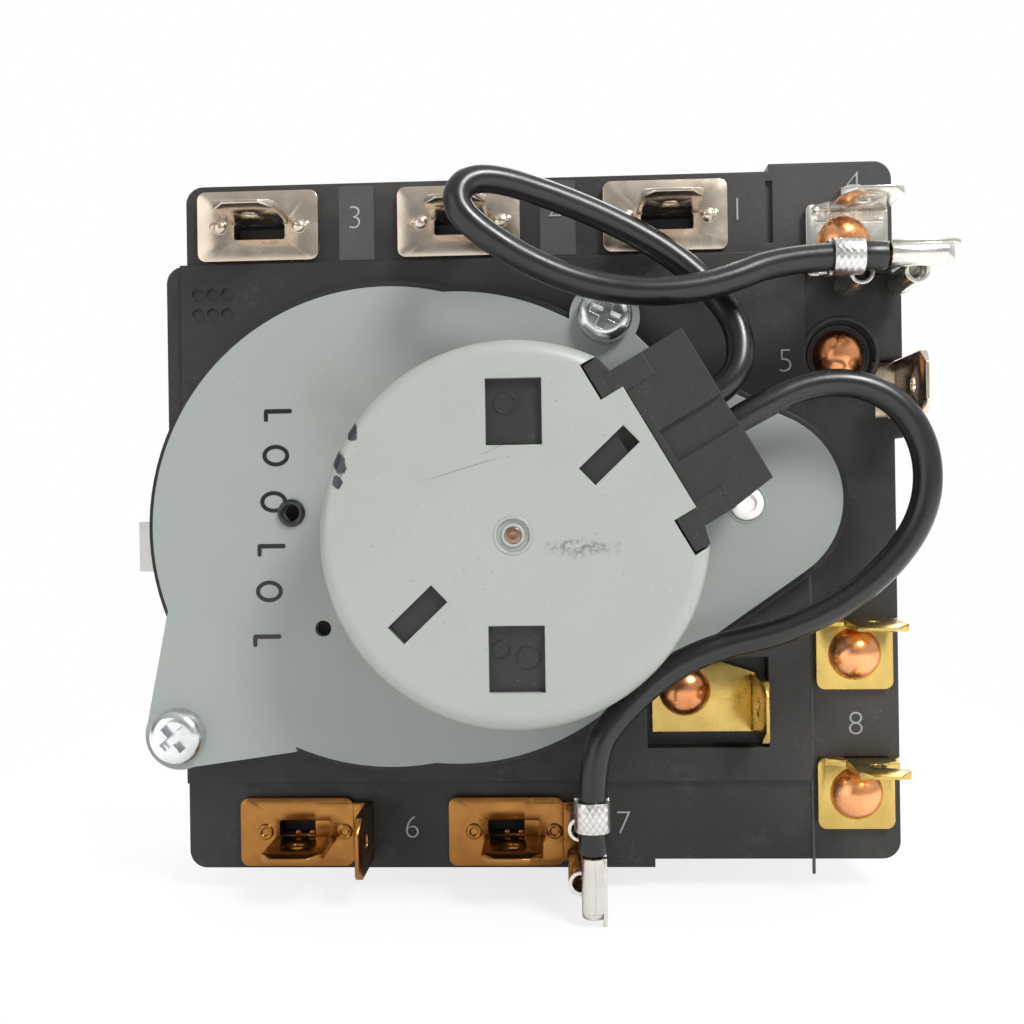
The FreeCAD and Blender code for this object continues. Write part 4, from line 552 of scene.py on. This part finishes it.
def corner_plate():
    part = bmesh.new()
    x, z, wide, high = 49.05, 29.9, 8.6, 7.6
    stamp(part, [rounded(x, z, wide, high, 0.6)], 0, STOCK, plan(), 0.1)
    for tab_x, tab_z in ((50.1, z + 3.4), (50.9, z - 3.4)):
        tab(part, flat_up(tab_x, tab_z))
        left, right = x - wide / 2 - tab_x + 0.1, x + wide / 2 - tab_x - 0.1
        shoulder(part, [(left, 0.05), (right, 0.05), (3.1, 1.9), (-3.1, 2.1)], flat_up(tab_x, tab_z))
    # Pressed ridge under the upper tab and two half-shears at its left end.
    stamp(part, [box_loop(x + 0.2, z + 1.95, 7.2, 0.5)], STOCK - 0.02, STOCK + 0.16, plan(), 0.12)
    for nub_x in (45.75, 46.95):
        dome(part, nub_x, z + 3.2, STOCK - 0.05, 0.42, 0.55, plan(), 14, 5)
    piece("terminal_corner_sheet", part, "tinned", stands_for=("terminal_corner",))


def side_plate():
    part = bmesh.new()
    x, z = 55.15, 14.0
    rivet_x = SIDE_RIVET[0]
    strip = [(rivet_x, z - 3.17), (x + 0.35, z - 3.17), (x + 0.35, z + 3.17), (rivet_x, z + 3.17)]
    stamp(part, [disc(*SIDE_RIVET, 3.4)], -3.0, -2.2, plan(), 0.08)
    stamp(part, [strip], -2.99, -2.21, plan(), 0.08)
    tab(part, flat_side(x, z), root=-3.0, tip=7.4)
    piece("terminal_side_sheet", part, "nickel", stands_for=("terminal_side",))


def inner_plate():
    part = bmesh.new()
    outline = [(27.7, -22.87), (39.1, -22.87), (39.1, -16.5), (35.4, -15.2), (27.7, -15.2)]
    stamp(part, [outline], -1.6, -0.8, plan(), 0.1)
    tab(part, flat_side(38.9, -19.7), root=-1.6, tip=6.6)
    piece("terminal_inner_sheet", part, "brass", stands_for=("terminal_inner",))


def build_terminals():
    for name, x in (("left", -14.5), ("middle", 7.5), ("right", 29.8)):
        top_plate("terminal_top_" + name, x)
    bottom_plate("terminal_bottom_left", -11.1, 7.9)
    bottom_plate("terminal_bottom_middle", 11.7, 9.6)
    riveted_plate("terminal_right_upper", -14.3, False)
    riveted_plate("terminal_right_lower", -29.2, True)
    corner_plate()
    side_plate()
    inner_plate()


# Leads and receptacles

LEAD_DIAMETER = 2.8
WIRE_ACROSS = 0.5
WIRE_HEIGHT = 10.1
CRIMP = (0.42, 10.15, 1.02)
UPPER_ROUTE = [(33.11, 12.54, 9.9), (35.7, 14.06, 9.9), (36.6, 18.6, 8.4), (34.7, 22.8, 6.9),
               (30.2, 27.2, 6.8), (24.2, 30.6, 7.6), (17.4, 33.1, 9.4), (11.6, 34.4, 11.6),
               (8.9, 33.5, 12.8), (8.3, 31.2, 13.4), (10.3, 28.9, 13.2), (15.2, 25.7, 12.6),
               (21.2, 23.3, 12.0), (27.6, 22.4, 12.0), (34.0, 23.3, 11.4), (40.2, 26.0, 10.1),
               (47.2, 26.0, 10.1)]
LOWER_ROUTE = [(34.82, 9.61, 9.9), (37.41, 11.12, 9.9), (42.4, 13.6, 9.2), (47.8, 13.8, 9.0),
               (52.2, 11.4, 9.0), (54.6, 6.6, 9.0), (54.3, 1.0, 9.0), (51.2, -4.0, 9.0),
               (46.2, -8.2, 9.0), (40.0, -11.0, 8.8), (33.7, -12.4, 8.4), (28.4, -14.8, 8.4),
               (24.0, -18.6, 9.2), (20.8, -22.5, 10.1), (20.8, -29.5, 10.1)]


def squared(share):
    """Push a cosine or sine outwards, which turns a circle into a slightly square one."""
    return math.copysign(abs(share) ** 0.8, share)


def receptacle(name, x, z, along, across):
    """A flag receptacle: a box with two rolled edges under a wire barrel, in thin tinned sheet."""
    depth = Vector((0, -1, 0))
    start = at(x, z, 0)
    stock, half, roll = 0.4, 7.95 / 2, 1.25

    def place(first, second, third):
        """Local axes along the wire, across towards the rolls, or up from the case."""
        ways = {"a": along, "c": across, "h": depth}
        matrix = Matrix((ways[first] * MM, ways[second] * MM, ways[third] * MM)).transposed().to_4x4()
        matrix.translation = start
        return matrix

    part = bmesh.new()
    back = -0.65
    for sign in (-1, 1):
        path = [(0.0, back), (half - 1.0, back)]
        path += arc(half - stock / 2 - 0.7, back + 0.7, 0.7, -90, 0, 5)
        path += arc(half - roll, 1.7, roll - stock / 2, 0, 262, 22)
        roll_path = [(sign * a, c) for a, c in path]
        stamp(part, [ribbon(roll_path, stock)], 1.8, 8.55, place("a", "c", "h"), 0.06)
    # Strap along the back, from the band to its point, then the crimp and its slanted end.
    strap = [(-6.1, 8.6), (-3.6, 8.2), (4.4, 8.2), (5.7, 9.3), (6.4, 10.3), (5.6, 11.0), (-0.5, 11.0),
             (-0.5, 10.3), (-3.1, 10.3), (-3.1, 11.2), (-6.1, 11.2)]
    stamp(part, [strap], -0.86, -0.46, place("a", "h", "c"), 0.06)
    crimp = ribbon(arc(*CRIMP, 200, -160, 24), 0.42)
    stamp(part, [crimp], -0.5, 4.9, place("c", "h", "a"), 0.08)

    def slant(tail):
        for vert in tail.verts:
            vert.co.y -= (vert.co.z - 4.9) * 0.9

    tail = ribbon(arc(*CRIMP, 190, -30, 14), 0.36)
    stamp(part, [tail], 4.9, 5.7, place("c", "h", "a"), 0.08, slant)
    sheet = piece(name + "_sheet", part, "tinned", stands_for=(name,))

    part = bmesh.new()
    radius = LEAD_DIAMETER / 2 + 0.2
    wrap = []
    for i in range(31):
        turn = math.radians(-100 + 350 * i / 30)
        wrap.append((WIRE_ACROSS + radius * squared(math.cos(turn)),
                     WIRE_HEIGHT + radius * squared(math.sin(turn))))
    stamp(part, [ribbon(wrap, 0.36)], -6.1, -3.1, place("c", "h", "a"), 0.06)
    for c in (-0.95, 2.0):
        stamp(part, [box_loop(c, 9.6, 0.55, 1.1)], -6.35, -6.0, place("c", "h", "a"), 0.08)
    band = piece(name + "_band", part, "tinned", "hatched")

    part = bmesh.new()
    cut_end = disc(WIRE_ACROSS, WIRE_HEIGHT, LEAD_DIAMETER / 2)
    stamp(part, [cut_end], -4.1, -0.85, place("c", "h", "a"), 0.12)
    stub = piece(name.replace("receptacle", "insulation"), part, "lead_pvc")
    part = bmesh.new()
    for i in range(7):
        turn = math.radians(60 * i)
        reach = 0.0 if i == 6 else 0.42
        strand = disc(WIRE_ACROSS + reach * math.cos(turn), WIRE_HEIGHT + reach * math.sin(turn), 0.2, 10)
        stamp(part, [strand], -0.9, 5.2, place("c", "h", "a"), 0)
    strands = piece(name.replace("receptacle", "strands"), part, "copper", "pin_brown")
    return [sheet.name, band.name, stub.name, strands.name]


def build_lead(name, route):
    curve = bpy.data.curves.new(name, "CURVE")
    curve.dimensions = "3D"
    curve.resolution_u = 10
    curve.bevel_depth = LEAD_DIAMETER / 2 * MM
    curve.bevel_resolution = 6
    spline = curve.splines.new("NURBS")
    spline.points.add(len(route) - 1)
    for point, place in zip(spline.points, route):
        point.co = (*at(*place), 1.0)
    spline.order_u = 3
    spline.use_endpoint_u = True
    obj = bpy.data.objects.new(name, curve)
    bpy.context.collection.objects.link(obj)
    dress(obj, "lead_pvc")
    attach(obj, "case")
    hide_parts(name)
    return obj


def build_leads():
    upper = receptacle("receptacle_upper", 51.2, 26.5, Vector((1, 0, 0)), Vector((0, 0, -1)))
    lower = receptacle("receptacle_lower", 21.3, -33.5, Vector((0, 0, -1)), Vector((-1, 0, 0)))
    build_lead("lead_upper", UPPER_ROUTE)
    build_lead("lead_lower", LOWER_ROUTE)


# Details on the case, the plate and the motor

def digits(name, entries, size, slot, look):
    """Plain numbers printed on the case, each with its place."""
    part = bmesh.new()
    for text, x, z, height in entries:
        curve = bpy.data.curves.new(name, "FONT")
        curve.body = text
        curve.size = size
        curve.align_x = "CENTER"
        curve.align_y = "CENTER"
        curve.offset = -0.022 * size
        curve.extrude = 0.02
        curve.resolution_u = 5
        obj = bpy.data.objects.new(name, curve)
        mesh = bpy.data.meshes.new_from_object(obj)
        mesh.transform(plan(x, z, height))
        part.from_mesh(mesh)
        bpy.data.objects.remove(obj)
        bpy.data.meshes.remove(mesh)
    return piece(name, part, slot, look)


def build_case_details():
    numbers = [("3", -3.9, 33.7, 0.03), ("2", 17.9, 34.4, 0.03), ("1", 37.6, 33.5, 0.03),
               ("4", 50.0, 36.0, 0.03), ("5", 42.4, 17.0, 0.63), ("6", 1.4, -33.0, 0.03),
               ("7", 24.4, -32.6, 0.03), ("8", 49.4, -22.0, 0.03)]
    digits("terminal_numbers", numbers, 3.7, "case_black", "pale_print")
    part = bmesh.new()
    for x in (-3.75, 18.25):
        stamp(part, [box_loop(x, 33.2, 3.9, 8.2)], -0.02, 0.02, plan(), 0)
    piece("label_pads", part, "case_black", "pad_black")
    # Lips round the side terminal's rivet recess, then raised lines at the pads' edges, coloured lighter
    # than the case as a painted edge highlight.
    part = bmesh.new()
    ring(part, *SIDE_RIVET, 0.0, 3.95, 0.28, plan(), 40, 0.5)
    ring(part, *SIDE_RIVET, -0.95, 3.25, 0.2, plan(), 40, 0.5)
    piece("recess_lips", part, "case_black", "bare_black")
    part = bmesh.new()
    # Painted highlight: these raised lines take the lighter pad colour where the step edges catch the
    # light.
    for x, z, wide, high in ((44.75, -19.0, 0.35, 38.0), (33.4, -27.85, 22.5, 0.3)):
        stamp(part, [box_loop(x, z, wide, high)], -0.02, 0.16, plan(), 0.06)
    piece("moulding_lines_painted_highlight", part, "case_black", "pad_black")


def build_plate_details():
    """Inspection marks in ink, the post's eyelet and the nylon hub in the plate's lobe."""
    part = bmesh.new()
    top = PLATE_TOP
    marks = [("bar", -11.7, 12.4), ("ring", -12.0, 7.7), ("ring", -12.3, 2.8), ("bar", -12.6, -1.9),
             ("ring", -12.9, -6.7), ("bar", -13.2, -11.5)]
    for kind, x, z in marks:
        if kind == "ring":
            stamp(part, [ellipse(x, z, 1.45, 1.15), ellipse(x, z, 1.0, 0.72)], top, top + 0.02, plan(), 0)
        else:
            stamp(part, [rounded(x, z, 3.0, 0.48, 0.2, 3)], top, top + 0.02, plan(), 0)
            hook = rounded(x - 1.3, z - 0.5, 0.45, 1.2, 0.2, 3)
            stamp(part, [hook], top + 0.005, top + 0.022, plan(), 0)
    piece("inspection_marks", part, "gear_plate_grey", "ink")
    part = bmesh.new()
    ring(part, -10.4, 1.6, top + 0.15, 1.15, 0.33, plan(), 36)
    piece("post_eyelet", part, "gear_plate_grey", "ink")
    part = bmesh.new()
    profile = [(1.72, top), (1.72, top + 0.22), (1.45, top + 0.38), (0.95, top + 0.38), (0.9, top + 0.2),
               (0.0, top + 0.16)]
    spin(part, profile, plan(*LOBE), 36)
    piece("hub_cap", part, "nylon")
    part = bmesh.new()
    ring(part, *LOBE, top, 2.0, 0.14, plan(), 36, 0.6)
    piece("hub_seat", part, "gear_plate_grey")


def build_motor_details():
    x, z = MOTOR
    part = bmesh.new()
    ring(part, x, z, CAN_TOP - 0.02, 1.72, 0.16, plan(), 40, 0.6)
    ring(part, x, z, CAN_TOP - 0.25, 0.98, 0.2, plan(), 32, 0.8)
    piece("can_dimple", part, "can_grey")
    part = bmesh.new()
    profile = [(0.78, CAN_TOP - 0.3), (0.78, CAN_TOP - 0.12), (0.6, CAN_TOP - 0.05),
               (0.25, CAN_TOP - 0.08), (0.0, CAN_TOP - 0.12)]
    spin(part, profile, plan(x, z), 28)
    piece("rotor_pin_end", part, "zinc_steel", "pin_brown", body="rotor")
    part = bmesh.new()
    for mark_x, mark_z, radius in ((13.0, 11.7, 1.0), (14.9, -12.4, 1.1), (12.3, -11.6, 0.8)):
        ring(part, mark_x, mark_z, CAN_TOP - 0.82, radius, 0.12, plan(), 28)
    piece("bobbin_marks", part, "case_black", "dusty_black")


# Stage, lamps and camera

def build_world():
    """White where the camera sees it; a studio that is brighter above and to the right elsewhere."""
    world = bpy.data.worlds.new("surround")
    bpy.context.scene.world = world
    world.use_nodes = True
    tree = world.node_tree
    link = tree.links.new
    background = tree.nodes["Background"]
    path = tree.nodes.new("ShaderNodeLightPath")
    place = tree.nodes.new("ShaderNodeTexCoord")
    toward = tree.nodes.new("ShaderNodeVectorMath")
    toward.operation = "DOT_PRODUCT"
    toward.inputs[1].default_value = Vector((0.45, 0.25, 0.86)).normalized()
    link(place.outputs["Generated"], toward.inputs[0])
    studio = tree.nodes.new("ShaderNodeMapRange")
    for key, value in (("From Min", -0.6), ("From Max", 0.9), ("To Min", 0.08), ("To Max", 0.95)):
        studio.inputs[key].default_value = value
    link(toward.outputs["Value"], studio.inputs["Value"])
    seen = tree.nodes.new("ShaderNodeMath")
    seen.operation = "MAXIMUM"
    link(path.outputs["Is Camera Ray"], seen.inputs[0])
    link(path.outputs["Is Transmission Ray"], seen.inputs[1])
    blend = tree.nodes.new("ShaderNodeMix")
    link(seen.outputs[0], blend.inputs["Factor"])
    link(studio.outputs["Result"], blend.inputs[2])
    blend.inputs[3].default_value = 1.0
    link(blend.outputs[0], background.inputs["Strength"])
    background.inputs["Color"].default_value = (1, 1, 1, 1)


def build_floor():
    """A white floor that keeps the object's shadow near it and fades into the background."""
    bpy.ops.mesh.primitive_grid_add(x_subdivisions=2, y_subdivisions=2, size=4.0,
                                    location=(0, 0, CAD_BOX[0][2] - 0.05 * MM))
    floor = bpy.context.object
    floor.name = "floor"
    finish = Finish("floor_paper", (0.94, 0.94, 0.94), 0.9)
    finish.done()
    shade = finish.tree
    glow = shade.nodes.new("ShaderNodeEmission")
    blend = shade.nodes.new("ShaderNodeMixShader")
    rays = shade.nodes.new("ShaderNodeLightPath")
    near = finish.spot(15.0, 0.0, 90.0, 90.0, soft=1.0)
    share = finish.maths("SUBTRACT", 1.0, finish.maths("MULTIPLY", near, 0.22))
    finish.feed(blend.inputs[0], finish.maths("MULTIPLY", rays.outputs["Is Camera Ray"], share))
    finish.feed(blend.inputs[1], finish.shader.outputs[0])
    finish.feed(blend.inputs[2], glow.outputs[0])
    finish.feed(shade.nodes["Material Output"].inputs["Surface"], blend.outputs[0])
    floor.data.materials.append(finish.material)


def build_lamps():
    for name, place, size, power in (("key", (0.30, -0.38, 0.42), 0.16, 3.4),
                                     ("fill", (-0.40, -0.40, 0.10), 0.45, 0.9),
                                     ("back", (0.10, 0.40, 0.35), 0.40, 2.0)):
        lamp = bpy.data.lights.new(name, "AREA")
        lamp.size = size
        lamp.energy = power
        obj = bpy.data.objects.new(name, lamp)
        obj.location = place
        aim = Vector((0.015, -0.03, 0)) - obj.location
        obj.rotation_euler = aim.to_track_quat("-Z", "Y").to_euler()
        bpy.context.collection.objects.link(obj)


def build_camera():
    """The photograph's view: square on to the motor side, from 120 mm off the rear face."""
    yaw = math.radians(2.5)
    roll = math.radians(0.85)
    ahead = Vector((-math.sin(yaw), math.cos(yaw), 0))
    right = Vector((math.cos(yaw), math.sin(yaw), 0))
    up = Vector((0, 0, 1))
    turned_right = right * math.cos(roll) - up * math.sin(roll)
    turned_up = up * math.cos(roll) + right * math.sin(roll)
    data = bpy.data.cameras.new("camera")
    data.sensor_width = 36
    data.lens = 38.78
    data.clip_start = 0.005
    camera = bpy.data.objects.new("camera", data)
    matrix = Matrix((turned_right, turned_up, -ahead)).transposed().to_4x4()
    matrix.translation = Vector((18.06, -149.09, 1.35)) * MM
    camera.matrix_world = matrix
    bpy.context.collection.objects.link(camera)
    bpy.context.scene.camera = camera


build_camera()
dress_frame()
build_leads()
build_terminals()
build_case_details()
build_plate_details()
build_motor_details()
build_world()
build_floor()
build_lamps()
bpy.context.scene.view_settings.view_transform = "Standard"
